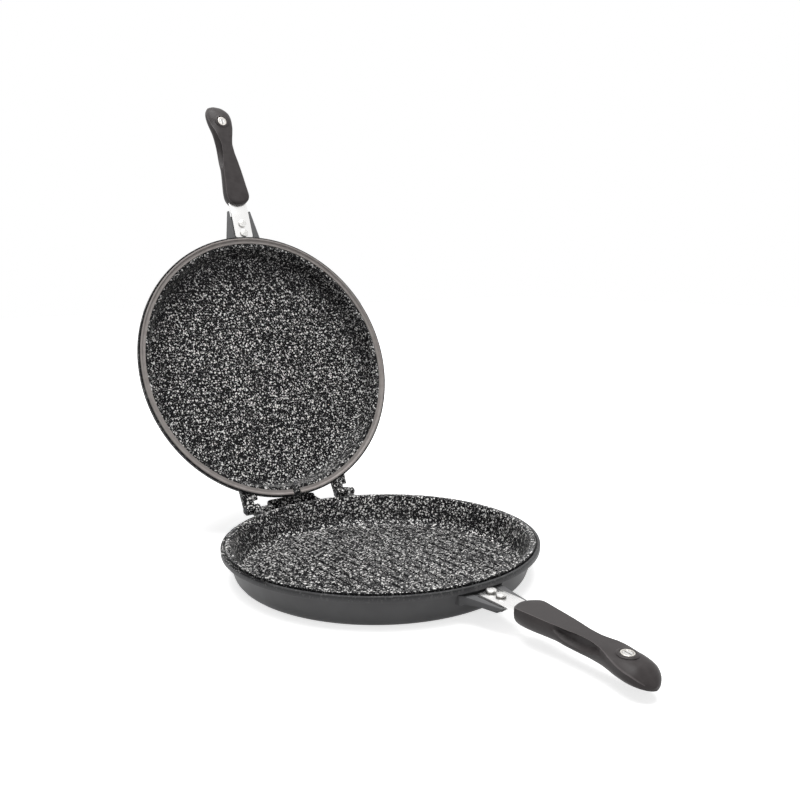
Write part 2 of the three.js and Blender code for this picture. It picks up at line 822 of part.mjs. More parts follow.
// Strap, rivets, handle, magnet, screw and insert of one half
function gripPieces(half) {
  const [inner, outer] = rivetPlaces();
  return [
    meshOf(`${half}_tang`, strap(), steel.clone()),
    meshOf(`${half}_rivet_inner`, rivet(inner), steel.clone()),
    meshOf(`${half}_rivet_outer`, rivet(outer), steel.clone()),
    meshOf(`${half}_handle`, handle(), bakelite.clone()),
    meshOf(`${half}_magnet`, magnet(), nickel.clone()),
    meshOf(`${half}_magnet_screw`, magnetScrew(), steel.clone()),
    meshOf(`${half}_insert`, insert(), brass.clone()),
  ];
}

const lowerHalf = new THREE.Group();
lowerHalf.position.z = panDepth;
lowerHalf.add(meshOf('lower_pan', lowerPan(), coatedCasting.clone()), ...gripPieces('lower'));

const upperHalf = new THREE.Group();
upperHalf.rotation.x = Math.PI;
upperHalf.position.set(hingeReach, 0, rimGap);
upperHalf.add(meshOf('upper_pan', upperPan(), coatedCasting.clone()), ...gripPieces('upper'));
upperHalf.add(meshOf('gasket', gasket(), silicone));
upperHalf.add(meshOf('hinge_pin_left', hingePin(armStarts[0], 0), steel.clone()));
upperHalf.add(meshOf('hinge_pin_right', hingePin(armStarts[1], bossLength), steel.clone()));

// The upper half hangs on the hinge axis and stands open by the angle at which its stop holds it.
const hinge = new THREE.Group();
hinge.position.set(-hingeReach, 0, panDepth);
hinge.rotation.y = -openAngle;
hinge.add(upperHalf);

const pan = new THREE.Group();
pan.add(lowerHalf, hinge);

export default pan;
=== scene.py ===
"""Looks of a hinged double frying pan: two die-cast pans, each with a riveted strap and a magnet-tipped half handle.

Every surface is worked out in millimetres in the frame of one half: its rim plane is z = 0, its bowl lies below,
+X runs to the handle and the hinge lies at -X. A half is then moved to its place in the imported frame, in metres.
"""

import json
import math

import bmesh
import bpy
import numpy as np
from mathutils import Matrix, Vector


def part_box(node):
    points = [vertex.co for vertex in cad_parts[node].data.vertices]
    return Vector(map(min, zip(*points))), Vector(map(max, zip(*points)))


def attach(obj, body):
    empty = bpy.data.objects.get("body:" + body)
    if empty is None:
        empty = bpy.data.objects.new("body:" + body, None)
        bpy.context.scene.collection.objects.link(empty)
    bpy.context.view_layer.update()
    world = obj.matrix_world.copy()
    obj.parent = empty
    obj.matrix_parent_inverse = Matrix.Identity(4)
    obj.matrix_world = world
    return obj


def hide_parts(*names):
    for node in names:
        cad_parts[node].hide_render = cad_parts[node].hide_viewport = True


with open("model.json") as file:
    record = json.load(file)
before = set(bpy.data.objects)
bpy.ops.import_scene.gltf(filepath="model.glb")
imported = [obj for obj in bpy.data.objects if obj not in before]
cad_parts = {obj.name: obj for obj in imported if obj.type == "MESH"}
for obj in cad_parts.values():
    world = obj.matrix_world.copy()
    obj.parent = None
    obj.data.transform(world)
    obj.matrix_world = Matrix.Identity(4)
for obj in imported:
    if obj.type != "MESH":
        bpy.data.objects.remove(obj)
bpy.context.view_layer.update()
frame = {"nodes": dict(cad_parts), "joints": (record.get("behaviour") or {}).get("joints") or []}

MM = 0.001

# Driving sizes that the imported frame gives, in millimetres
hinge_joint = frame["joints"][0]
hinge_reach = -hinge_joint["pos_m"][0] / MM
pan_depth = hinge_joint["pos_m"][2] / MM
open_angle = math.radians(hinge_joint["range_deg"][1])
rim_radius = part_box("lower_pan")[1].y / MM

# Pans
rim_gap = 1.0
flange_thickness = 4.8
flange_edge_round = 0.7
flange_overhang = 4.8
flange_underside_round = 1.6
wall_draft = 0.331
base_fillet = 11.7
wall_thickness = 4.3
lower_floor_thickness = 4.8
upper_floor_thickness = 3.8
floor_fillet = 9.0
base_ring_radii = (24.0, 44.0, 64.0, 84.0, 104.0)
base_ring_width = 1.6
base_ring_depth = 0.35

# Sealing bead and groove of the lower rim
groove_inset = 2.6
groove_width = 1.1
groove_depth = 1.3
groove_round = 0.25
bead_width = 5.3
bead_height = 1.6
bead_outer_round = 1.0
bead_inner_round = 2.2

# How strongly specks show where the coat is drawn black but for a stray one, and where the spray thins out. The reach
# is given as cosines of the angle from the handle, between which the rim goes from bare to fully sprayed.
# In the lower rim's groove this black, with a stray speck, is painted shade; the upper flange's top is drawn black
# too
black_rim_marks = 0.12
# The upper flange's side is drawn black as painted shade, with specks this strong
flange_side_shade_specks = 0.4
# Specks on the steep inner wall: fewer of them darken it as painted shade
wall_specks = 0.72
rim_spray_reach = (0.35, -0.45)
overspray = 0.06

# Gasket channel of the upper rim, the gasket, the drain tab and its notch
channel_inset = 1.4
channel_width = 6.0
channel_depth = 3.0
channel_lip_width = 3.4
channel_lip_drop = 1.4
channel_lip_fall = 1.2
channel_round = 0.3
seal_gap = 0.3
seat_gap = 0.3
gasket_round = 0.25
gasket_outer_ridge = 1.4
gasket_inner_ridge = 0.5
gasket_inner_ridge_drop = 0.8
gasket_slope = 1.1
drain_tab_width = 8.0
drain_notch_width = 4.4
drain_tab_drop = 1.5
drain_notch_depth = 2.3

# Grill grooves of the lower floor
rib_pitch = 10.0
grill_margin = 15.0
rib_groove_width = 2.6
rib_groove_depth = 1.2
rib_groove_end = 3.0
groove_shade = 0.95
floor_disc_margin = 13.2

# Hinges
hinge_spread = 104.4
hinge_shift = -8.2
arm_width = 7.2
barrel_width = 6.8
arm_eye_radius = 4.8
barrel_radius = 5.4
boss_radius = 4.3
boss_length = 6.5
arm_depth = 9.0
arm_top_drop = 0.4
shoulder_width = 8.8
shoulder_clearance = 8.8
hinge_side_gap = 0.3
lug_depth = 12.0
bridge_rise = 1.3
bridge_depth = 8.0
bridge_back = 3.0
bridge_front = 6.0
nose_start = 2.2
nose_end = 8.0
nose_width = 4.0
cast_edge = 0.7
pin_radius = 2.5
pin_head_radius = 3.3
pin_head_thickness = 1.8
pin_head_round = 1.08
pin_tail = 0.8

# Drip tray
tray_width = 56.0
tray_shift = -5.0
tray_overhang = 19.0
tray_corner_radius = 7.0
tray_wall = 2.2
tray_floor_thickness = 2.2
tray_depth = 10.0
tray_rise = 3.1
tray_front_reach = 9.1

# Bracket
shelf_length = 26.0
shelf_thickness = 4.6
shelf_root_inset = 1.0
ear_length = 32.0
ear_inset = 1.2
ear_tip_width = 1.8
ear_root_width = 7.6
ear_rise = 0.9
ear_tip_height = 2.4
ear_root_height = 7.0
ear_corner = 0.55
ear_flare = 3.0
ear_flare_length = 5.0

# Strap, rivets
strap_top_drop = 5.6
strap_thickness = 2.0
strap_width = 20.0
strap_standoff = 1.4
strap_corner = 2.5
strap_edge = 0.35
strap_droop = math.radians(2.4)
strap_tongue_width = 8.0
strap_tongue_fullness = 0.999
strap_shoulder_inset = 2.5
strap_shoulder_length = 7.0
strap_past_magnet = 8.0
rivet_offset = 6.0
rivet_pitch = 11.0
rivet_radius = 2.4
rivet_head_radius = 4.1
rivet_head_height = 3.2
rivet_head_undercut = 0.2
rivet_head_foot = 0.8
rivet_head_shoulder = 2.72
# Height up a rivet's head over which the painted shade at its foot fades out
rivet_foot_shade_height = 1.3
rivet_tail_radius = 3.7
rivet_tail_height = 1.5

# Half handle
handle_offset = 38.5
handle_length = 120.5
handle_face_drop = 0.7
handle_width = 26.8
handle_thickness = 15.4
handle_front_round = 12.0
handle_front_reach = 0.6
handle_front_slope = 5.0
handle_front_drop = 2.6
handle_tail_round = 17.0
handle_tail_drop = 12.0
handle_edge_drop = 4.5
handle_hollow = 4.6
hollow_wall = 0.9
handle_front_edge = 3.8
handle_front_edge_length = 14.0

# Half handle's course: rows of [place along it, share there of the size that the name states]
face_width_shares = [
    [0, 0.98], [0.08, 0.97], [0.17, 0.89], [0.29, 0.78], [0.41, 0.64], [0.5, 0.51],
    [0.57, 0.48], [0.63, 0.57], [0.7, 0.74], [0.76, 0.9], [0.85, 1.03], [1, 1.04],
]
ridge_width_shares = [
    [0, 1], [0.1, 1], [0.25, 0.88], [0.42, 0.74], [0.55, 0.68], [0.7, 0.83], [0.85, 1.02], [1, 1.04],
]
ridge_depth_shares = [
    [0, 0.3], [0.28, 0.24], [0.33, 0.26], [0.42, 0.56], [0.52, 0.64], [0.62, 0.5], [0.7, 0.3], [1, 0.3],
]
thickness_shares = [[0, 0.95], [0.12, 1], [0.4, 0.89], [0.6, 0.88], [0.8, 0.96], [0.92, 0.98], [1, 0.97]]
hollow_shares = [[0.33, 0], [0.37, 0.8], [0.46, 1], [0.58, 0.9], [0.7, 0]]
edge_drop_shares = [[0.66, 0], [0.86, 1], [1, 1]]
tail_drop_shares = [[0.82, 0], [0.9, 0.14], [0.96, 0.5], [1, 1]]
belly_rise_share = 0.65

# Half handle's section: shares of the way round that face and side take, and the powers of its curves
face_share = 0.25
side_share = 0.25
face_power = 3
front_power = 2.5
front_edge_power = 2
tail_power = 2.1
belly_power = 0.8
# Fullness of the section past which the crease is lighter: rubbed wear and a painted highlight
rubbed_crease_highlight_fullness = 0.6

# Magnet, collar, screw
magnet_share = 0.801
magnet_radius = 4.9
magnet_proud = 0.15
magnet_seat_gap = 0.4
magnet_edge = 0.4
magnet_hole_radius = 2.3
collar_height = 0.6
collar_top_width = 1.1
collar_foot_width = 2.4
screw_head_radius = 3.3
screw_head_drop = 0.3
screw_radius = 1.9
screw_slot_width = 0.7
screw_slot_depth = 0.5
screw_slot_flare = 1.1

# How finely the surfaces are drawn
ring_steps = 360
small_ring_steps = 64
arc_steps = 6
straight_steps = 60
edge_steps = 4
disc_columns = 120
disc_edge_rows = 10
screw_steps = 41
ear_stations = 12
shelf_stations = 8
plate_stations = 6
bend_stations = 7
tongue_stations = 8
handle_rows = 150
handle_columns = 96
merge_distance = 0.5e-6
smooth_angle = math.radians(38)

# Specks of the coating: cell in millimetres, share of cells with a dot, largest dot in cells, strength. The real
# dust is finer than the first layer, which is as coarse as it needs to be to show.
speck_layers = ((0.9, 0.5, 0.62, 0.5), (1.3, 0.22, 0.8, 1.0), (1.8, 0.26, 0.72, 1.0))
speck_blur = 0.06
dimmest_speck = 0.88
speck_waver = 0.7
speck_waver_size = 1.3
black_from = 0.1
grey_coat_roughness = 0.44
black_coat_roughness = 0.36
speck_relief = 0.5
coat_cloud_size = 34.0
orange_peel_size = 0.9

# Camera in millimetres, degrees and pixels of the 800-pixel picture
camera_place = (608.29, -417.77, 272.53)
camera_heading = -54.118
camera_pitch = 9.213
camera_roll = -0.494
focal_length_pixels = 862.51
picture_width = 800
sensor_width = 36.0

# Light: the world's strength, and each lamp's name, watts, size, place and target in metres
world_strength = 0.18
lamps = (
    ("overhead_lamp", 56.0, 1.8, (0.12, -0.17, 2.3), (-0.05, 0.0, 0.1)),
    ("front_lamp", 4.2, 1.2, (1.4, -1.2, 1.0), (-0.1, 0.0, 0.15)),
)

# Floor in metres: it glows more towards its far parts, so that it is white to the camera all over
floor_width = 8.0
floor_gap = 0.0002
floor_glow = 0.7
far_floor_glow = 1.0
floor_near = 0.45
floor_far = 1.1

# Worked out from the sizes above
wall_top_radius = rim_radius - flange_overhang
base_corner_radius = wall_top_radius - wall_draft * (pan_depth - flange_thickness)
lower_floor = lower_floor_thickness - pan_depth
upper_floor = upper_floor_thickness - pan_depth
grill_radius = base_corner_radius - grill_margin
groove_outer_radius = rim_radius - groove_inset
groove_inner_radius = groove_outer_radius - groove_width
bead_inner_radius = groove_inner_radius - bead_width
channel_outer_radius = rim_radius - channel_inset
channel_inner_radius = channel_outer_radius - channel_width
channel_lip_radius = channel_inner_radius - channel_lip_width
arm_starts = [hinge_shift + side * hinge_spread / 2 for side in (-1, 1)]
barrel_starts = [arm_start + arm_width + hinge_side_gap for arm_start in arm_starts]
strap_top = -strap_top_drop
strap_bottom = strap_top - strap_thickness
shelf_top = strap_bottom - seat_gap
shelf_bottom = shelf_top - shelf_thickness
strap_bend = rim_radius + shelf_length
handle_start = rim_radius + handle_offset
magnet_reach = handle_start + magnet_share * handle_length
strap_end = magnet_reach + strap_past_magnet
ear_inner = strap_width / 2 + ear_inset
ear_root_outer = ear_inner + ear_root_width
magnet_top = collar_height + magnet_proud - handle_face_drop
screw_top = magnet_top - screw_head_drop
full_turn = np.linspace(0, 2 * math.pi, ring_steps, endpoint=False)
small_turn = np.linspace(0, 2 * math.pi, small_ring_steps, endpoint=False)


# Outlines

def rounded(corners):
    """Outline through [x, y] corners; one given as [x, y, radius] becomes an arc that touches both its sides."""
    points = []
    for i, (x, y, *rest) in enumerate(corners):
        corner = np.array([x, y])
        if not rest:
            points.append(corner[None])
            continue
        before = np.array(corners[i - 1][:2]) - corner
        after = np.array(corners[(i + 1) % len(corners)][:2]) - corner
        before, after = before / np.linalg.norm(before), after / np.linalg.norm(after)
        half = math.acos(np.clip(before @ after, -1, 1)) / 2
        middle = (before + after) / np.linalg.norm(before + after)
        centre = corner + middle * rest[0] / math.sin(half)
        start = corner + before * rest[0] / math.tan(half) - centre
        end = corner + after * rest[0] / math.tan(half) - centre
        turn = math.atan2(start[0] * end[1] - start[1] * end[0], start @ end)
        angles = turn * np.linspace(0, 1, arc_steps + 1)
        cos, sin = np.cos(angles), np.sin(angles)
        arc = np.stack([start[0] * cos - start[1] * sin, start[0] * sin + start[1] * cos], 1)
        points.append(centre + arc)
    return np.concatenate(points)


def circle(radius, x, y=0.0):
    """Circle: the point at angle a lies at (x + r cos a, y + r sin a)."""
    return np.stack([x + radius * np.cos(small_turn), y + radius * np.sin(small_turn)], 1)


def straight(start, end):
    """Closely spaced corners along a straight side."""
    share = np.linspace(0, 1, straight_steps)[:, None]
    return (np.array(start) + share * (np.array(end) - start)).tolist()


def outward(outline):
    """Unit vector out of a closed outline at each point: the mean of its two sides' directions, turned a quarter."""
    following = np.roll(outline, -1, 0)
    ahead = following - outline
    behind = outline - np.roll(outline, 1, 0)
    mean = ahead / np.linalg.norm(ahead, axis=1)[:, None] + behind / np.linalg.norm(behind, axis=1)[:, None]
    mean = mean / np.linalg.norm(mean, axis=1)[:, None]
    area = np.sum(outline[:, 0] * following[:, 1] - outline[:, 1] * following[:, 0])
    return math.copysign(1, area) * np.stack([mean[:, 1], -mean[:, 0]], 1)


def edge_round(edge):
    """Quarter circle at an end: how far the section is drawn in, e (1 - sin a), and its place, e (1 - cos a)."""
    quarter = np.linspace(0, math.pi / 2, edge_steps)
    return edge * (1 - np.sin(quarter)), edge * (1 - np.cos(quarter))


def smoothstep(low, high, value):
    """0 below low, 1 above high, and 3t^2 - 2t^3 between them."""
    t = np.clip((value - low) / (high - low), 0, 1)
    return t * t * (3 - 2 * t)


# Surfaces: each is (points as rows by columns by 3, whether the rows close, whether the columns close, marks). The
# marks, 0 to 1, say where a casting shows its specks (fewer in grooves and on steep walls as painted shade), a handle
# the painted highlight of its rubbed crease and a rivet the painted shade in its corner.

def turned(profile, angles=full_turn, marks=0.0):
    """Surface of revolution: the profile's point (r, z) at angle a lies at (r cos a, r sin a, z)."""
    radius, height = profile.T
    points = np.stack([
        np.outer(np.cos(angles), radius),
        np.outer(np.sin(angles), radius),
        np.broadcast_to(height, (len(angles), len(height))),
    ], -1)
    return points, True, False, marks


def area_centre(ring):
    """Centre of a flat ring's area: the mean of the middles of its triangles from one point, weighted by area."""
    start = ring.mean(0)
    spokes = ring - start
    crosses = np.cross(spokes, np.roll(spokes, -1, 0))
    weights = crosses @ crosses.sum(0)
    middles = start + (spokes + np.roll(spokes, -1, 0)) / 3
    return weights @ middles / weights.sum()


def capped(rings, marks=0.0):
    """Stack of rings closed at both ends by a fan to the area centre of the first and of the last ring."""
    first, last = (np.broadcast_to(area_centre(ring), ring.shape) for ring in (rings[0], rings[-1]))
    return np.concatenate([first[None], rings, last[None]]), False, True, marks


def cast_block(outline, start, end, edge):
    """Specked outline in X and Z carried along Y, drawn in along its normals by a quarter circle at each end."""
    inset, rise = edge_round(edge)
    levels = np.concatenate([start + rise, end - rise[::-1]])
    insets = np.concatenate([inset, inset[::-1]])
    flat = outline[None] - insets[:, None, None] * outward(outline)[None]
    y = np.broadcast_to(levels[:, None], flat.shape[:2])
    return capped(np.stack([flat[..., 0], y, flat[..., 1]], -1), marks=1.0)


def bar(x, half_width, top, bottom, corner, middle=0.0):
    """Rounded rectangle carried along X, with its half width, top, bottom and middle given at each station x."""
    quarter = np.linspace(0, math.pi / 2, edge_steps)
    angles = np.concatenate([quarter + k * math.pi / 2 for k in range(4)])
    signs_y = np.repeat([1, -1, -1, 1], edge_steps)
    signs_z = np.repeat([1, 1, -1, -1], edge_steps)
    half_width, top, bottom, middle = (
        np.broadcast_to(size, x.shape)[:, None] for size in (half_width, top, bottom, middle))
    y = middle + signs_y * (half_width - corner) + corner * np.cos(angles)
    z = (top + bottom) / 2 + signs_z * ((top - bottom) / 2 - corner) + corner * np.sin(angles)
    return capped(np.stack([np.broadcast_to(x[:, None], y.shape), y, z], -1))


def with_round_ends(x, edge):
    """Stations with a quarter circle added at each end, and how far the section is drawn in at each station."""
    inset, rise = edge_round(edge)
    stations = np.concatenate([x[0] + rise, x[1:-1], x[-1] - rise[::-1]])
    return stations, np.concatenate([inset, np.zeros(len(x) - 2), inset[::-1]])


def striped_disc(radius, rows_y, columns, height):
    """Disc of rows at constant y: at share s of a row, x is s times half the chord and z is height(x, y)."""
    chord = np.sqrt(np.maximum(radius ** 2 - rows_y ** 2, 0))
    x = chord[:, None] * np.linspace(-1, 1, columns)
    y = np.broadcast_to(rows_y[:, None], x.shape)
    return np.stack([x, y, height(x, y)], -1), False, False, 0.0


def rim_angles(radius, rows_y):
    """Angles at which a striped disc's rows meet its rim, once round: asin(y / r) up one side, pi less it down."""
    right = np.arcsin(np.clip(rows_y / radius, -1, 1))
    return np.concatenate([right, math.pi - right[-2:0:-1]])


# Placing and making pieces

def lower_place(points):
    """Lower half's frame to the world: up by the pan's depth."""
    return points + np.array([0, 0, pan_depth])


def upper_place(points):
    """Upper half's frame to the world: turned over about X, set on the rim gap, then opened about the hinge axis."""
    x = points[..., 0] + hinge_reach
    z = rim_gap - points[..., 2]
    cos, sin = math.cos(open_angle), math.sin(open_angle)
    return np.stack([x * cos - z * sin - hinge_reach, -points[..., 1], x * sin + z * cos + pan_depth], -1)


def drooped(points):
    """Tips what lies beyond the strap's bend down by the droop, about the line where the strap leaves its shelf."""
    run = points[..., 0] - strap_bend
    rise = points[..., 2] - strap_top
    cos, sin = math.cos(strap_droop), math.sin(strap_droop)
    tipped = np.stack([
        strap_bend + run * cos + rise * sin,
        points[..., 1],
        strap_top - run * sin + rise * cos,
    ], -1)
    return np.where(run[..., None] > 0, tipped, points)


def at_magnet(surface):
    """Surface about the Z axis moved to the magnet's place along the handle, and drooped with it."""
    points, *rest = surface
    return (drooped(points + np.array([magnet_reach, 0, 0])), *rest)


def faces_of(rows, columns, rows_close, columns_close, first):
    """Quads between neighbouring points of a grid whose points are numbered row by row from first."""
    number = first + np.arange(rows * columns).reshape(rows, columns)
    if rows_close:
        number = np.concatenate([number, number[:1]])
    if columns_close:
        number = np.concatenate([number, number[:, :1]], 1)
    quads = [number[:-1, :-1], number[1:, :-1], number[1:, 1:], number[:-1, 1:]]
    return np.stack(quads, -1).reshape(-1, 4)


def add_object(name, data):
    """Puts a mesh, lamp or camera in the scene and returns its object."""
    made = bpy.data.objects.new(name, data)
    bpy.context.scene.collection.objects.link(made)
    return made


def make_piece(name, surfaces, place, material, body, cad_node, slot):
    """One named mesh from several surfaces: merged, facing outwards, smooth but for its sharp edges."""
    points, faces, marks, first = [], [], [], 0
    for grid, rows_close, columns_close, grid_marks in surfaces:
        rows, columns = grid.shape[:2]
        faces.append(faces_of(rows, columns, rows_close, columns_close, first))
        points.append(place(grid).reshape(-1, 3) * MM)
        marks.append(np.broadcast_to(grid_marks, (rows, columns)).ravel())
        first += rows * columns
    mesh = bpy.data.meshes.new(name)
    mesh.from_pydata(np.concatenate(points), [], np.concatenate(faces).tolist())
    attribute = mesh.attributes.new("marks", "FLOAT", "POINT")
    attribute.data.foreach_set("value", np.concatenate(marks).astype(np.float32))
    merged = bmesh.new()
    merged.from_mesh(mesh)
    bmesh.ops.remove_doubles(merged, verts=merged.verts, dist=merge_distance)
    bmesh.ops.dissolve_degenerate(merged, edges=merged.edges, dist=merge_distance)
    bmesh.ops.recalc_face_normals(merged, faces=merged.faces)
    merged.to_mesh(mesh)
    merged.free()
    mesh.polygons.foreach_set("use_smooth", np.ones(len(mesh.polygons), bool))
    mesh.set_sharp_from_angle(angle=smooth_angle)
    mesh.materials.append(material)
    made = add_object(name, mesh)
    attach(made, body)
    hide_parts(cad_node)


# Castings

def outer_profile():
    """Outside of a pan from its base's centre out and up to the rim plane, with shallow turned rings in the base."""
    rings = [
        [radius + share * base_ring_width, (base_ring_depth if share == 0 else 0) - pan_depth]
        for radius in base_ring_radii for share in (-1, -0.5, 0, 0.5, 1)
    ]
    return [
        [0, -pan_depth],
        *rings,
        [base_corner_radius, -pan_depth, base_fillet],
        [wall_top_radius, -flange_thickness, flange_underside_round],
        [rim_radius, -flange_thickness, flange_edge_round],
        [rim_radius, 0, flange_edge_round],
    ]


def past_rim(profile):
    """Whether each point of a pan's profile comes after the rim's outer edge, where r + z / R is largest."""
    return np.arange(len(profile)) > int(np.argmax(profile[:, 0] + profile[:, 1] / rim_radius))


def floor_corner(floor):
    """Radius at which the inner wall would meet the floor: the outer wall there, less the wall's thickness."""
    return base_corner_radius + wall_draft * (floor + pan_depth) - wall_thickness


def specks_inside(profile, floor):
    """Strength of the specks up the inside of a bowl: full on the floor and the lip, fewer on the steep wall as
    painted shade.
    """
    height = profile[:, 1]
    steep = smoothstep(floor, floor + floor_fillet / 2, height) * (1 - smoothstep(-floor_fillet / 2, 0, height))
    return 1 - (1 - wall_specks) * steep


def grill_rows(disc_radius):
    """Values of y that follow every groove closely, with even turns beyond the last groove up to the disc's edge."""
    count = int(grill_radius // rib_pitch)
    half = rib_groove_width / 2
    offsets = np.array([-rib_pitch / 2, -rib_pitch / 3, -1.5 * half, -half, -half / 2, 0,
                        half / 2, half, 1.5 * half, rib_pitch / 3])
    inner = (np.arange(-count, count + 1)[:, None] * rib_pitch + offsets).ravel()
    limit = math.asin(inner.max() / disc_radius)
    outer = disc_radius * np.sin(np.linspace(limit, math.pi / 2, disc_edge_rows)[1:])
    inner = inner[inner > -inner.max()]
    return np.concatenate([-outer[::-1], inner, outer])


def grill_height(x, y):
    """Floor height: a smooth-sided groove at each multiple of the pitch, which runs out at the grill's edge."""
    offset = np.abs((y + rib_pitch / 2) % rib_pitch - rib_pitch / 2)
    across = 1 - smoothstep(0, rib_groove_width / 2, offset)
    along = 1 - smoothstep(grill_radius - rib_groove_end, grill_radius, np.hypot(x, y))
    return lower_floor - rib_groove_depth * across * along


def lower_shell():
    """Lower pan: the grooved floor's disc, and a turned surface from the base's centre over the rim to that disc."""
    disc_radius = base_corner_radius - floor_disc_margin
    rows = grill_rows(disc_radius)
    profile = rounded([
        *outer_profile(),
        [groove_outer_radius, 0, groove_round],
        [groove_outer_radius, -groove_depth, groove_round],
        [groove_inner_radius, -groove_depth, groove_round],
        [groove_inner_radius, bead_height, bead_outer_round],
        [bead_inner_radius, bead_height, bead_inner_round],
        [floor_corner(lower_floor), lower_floor, floor_fillet],
        [disc_radius, lower_floor],
    ])
    radius, height = profile.T
    angles = rim_angles(disc_radius, rows)
    # The spray is thin on the rim, thicker there towards the hinge, and fades out down the rim's side
    # The groove is drawn black with a stray speck, as painted shade
    bare_rim = np.where(radius < groove_outer_radius + groove_round / 2, black_rim_marks, overspray)
    towards_hinge = smoothstep(*rim_spray_reach, np.cos(angles))[:, None]
    rim = bare_rim + (wall_specks - bare_rim) * towards_hinge
    inside = np.where(radius < groove_inner_radius - groove_round, specks_inside(profile, lower_floor), rim)
    side = overspray * smoothstep(-flange_thickness - flange_underside_round, -flange_thickness / 3, height)
    *grill, _ = striped_disc(disc_radius, rows, disc_columns, grill_height)
    sunk = (lower_floor - grill[0][..., 2]) / rib_groove_depth
    return [turned(profile, angles, np.where(past_rim(profile), inside, side)), (*grill, 1 - groove_shade * sunk)]


def upper_shell():
    """Upper pan, turned; the channel is filled at the drain tab, and the notch is sunk across tab and rim."""
    half_tab = drain_tab_width / 2
    half_notch = drain_notch_width / 2
    profile = rounded([
        *outer_profile(),
        [channel_outer_radius, 0, channel_round],
        [channel_outer_radius, -channel_depth, channel_round],
        [channel_inner_radius, -channel_depth, channel_round],
        [channel_inner_radius, -channel_lip_drop, channel_round],
        [channel_lip_radius, -channel_lip_drop - channel_lip_fall, channel_lip_width / 3],
        [floor_corner(upper_floor), upper_floor, floor_fillet],
        [0, upper_floor],
    ])
    radius, height = profile.T
    steps = np.array([half_notch - cast_edge, half_notch, half_tab, half_tab + cast_edge / 2]) / rim_radius
    angles = np.unique(np.concatenate([full_turn, math.pi - steps, math.pi + steps]))
    points, *closes, _ = turned(profile, angles)
    x, y, z = points[..., 0], np.abs(points[..., 1]), points[..., 2]
    is_rim = past_rim(profile)
    at_hinge = (x < 0) & is_rim & (z > upper_floor + floor_fillet)
    in_channel = at_hinge & (y < half_tab + cast_edge / 4) & (radius > channel_lip_radius)
    in_notch = at_hinge & (y < half_notch - cast_edge / 2)
    z = np.where(in_channel, np.maximum(z, -drain_tab_drop), z)
    points[..., 2] = np.where(in_notch, np.minimum(z, -drain_notch_depth), z)
    inside = radius < channel_outer_radius + channel_round / 2
    # The flange's side is drawn black as painted shade, with a few specks; the flange's top outside the channel is
    # drawn black
    coat_outside = np.where(is_rim, black_rim_marks, np.where(height > -flange_thickness, flange_side_shade_specks, 0.0))
    return [(points, *closes, np.where(is_rim & inside, specks_inside(profile, upper_floor), coat_outside))]


def wall_at(y, z):
    """Distance along X at which the middle of the wall passes a height and a distance y from the X axis:
    sqrt(r^2 - y^2), where r is the wall's middle radius at that height."""
    radius = wall_top_radius + wall_draft * (z + flange_thickness) - wall_thickness / 2
    return np.sqrt(radius ** 2 - y ** 2)


def bracket():
    """Shelf between two ears: each a rounded bar whose width and height taper to its tip and flare at its root."""
    ear_top = shelf_top + ear_rise
    root = wall_at(ear_root_outer, ear_top - ear_root_height)
    tip = rim_radius + ear_length
    stations = np.append(np.linspace(root, rim_radius + ear_flare_length, ear_stations), tip)
    x, inset = with_round_ends(stations, ear_corner)
    taper = np.clip((x - rim_radius) / ear_length, 0, 1)
    fall = np.clip((x - root) / (tip - root), 0, 1)
    from_root = np.clip(1 - (x - wall_top_radius) / ear_flare_length, 0, 1)
    flare = ear_flare * (1 - np.sqrt(1 - from_root ** 2))
    outer = ear_inner + ear_root_width + (ear_tip_width - ear_root_width) * taper + flare
    bottom = ear_top - (ear_root_height + (ear_tip_height - ear_root_height) * fall + flare / 2)
    half_width = (outer - ear_inner) / 2 - inset
    ears = [
        bar(x, half_width, ear_top - inset, bottom + inset, ear_corner / 2, side * (outer + ear_inner) / 2)
        for side in (-1, 1)
    ]
    x, inset = with_round_ends(np.linspace(root, strap_bend, shelf_stations), ear_corner)
    half = np.interp(x, [rim_radius, strap_bend], [ear_root_outer - shelf_root_inset, ear_inner + ear_tip_width])
    shelf = bar(x, half - inset - ear_tip_width / 2, shelf_top - inset, shelf_bottom + inset, ear_corner / 2)
    return [*ears, shelf]


def kept_in_wall(surface, depth):
    """Keeps a root out of the rim's channel or groove and out of the bowl: what lies inside the rim's edge is pressed
    down to the depth, and what reaches past the middle of the wall is moved along X to it."""
    points, *rest = surface
    x, y, z = points[..., 0], points[..., 1], points[..., 2]
    z = np.where(np.hypot(x, y) < rim_radius - cast_edge, np.minimum(z, -depth), z)
    return (np.stack([np.minimum(x, -wall_at(y, z)), y, z], -1), *rest)


def stop_nose(start):
    """Nose on the back of a barrel: a rounded block turned by the opening angle, its flat top facing the shoulder."""
    top = shoulder_clearance - seat_gap
    along = np.array([-math.sin(open_angle), math.cos(open_angle)])
    across = np.array([math.cos(open_angle), math.sin(open_angle)])
    corners = [[nose_start, 0], [nose_start, top, cast_edge], [nose_end, top, 2 * cast_edge], [nose_end, 0]]
    outline = [[*(run * along + rise * across - [hinge_reach, 0]), *rest] for run, rise, *rest in corners]
    return cast_block(rounded(outline), start, start + nose_width, cast_edge)


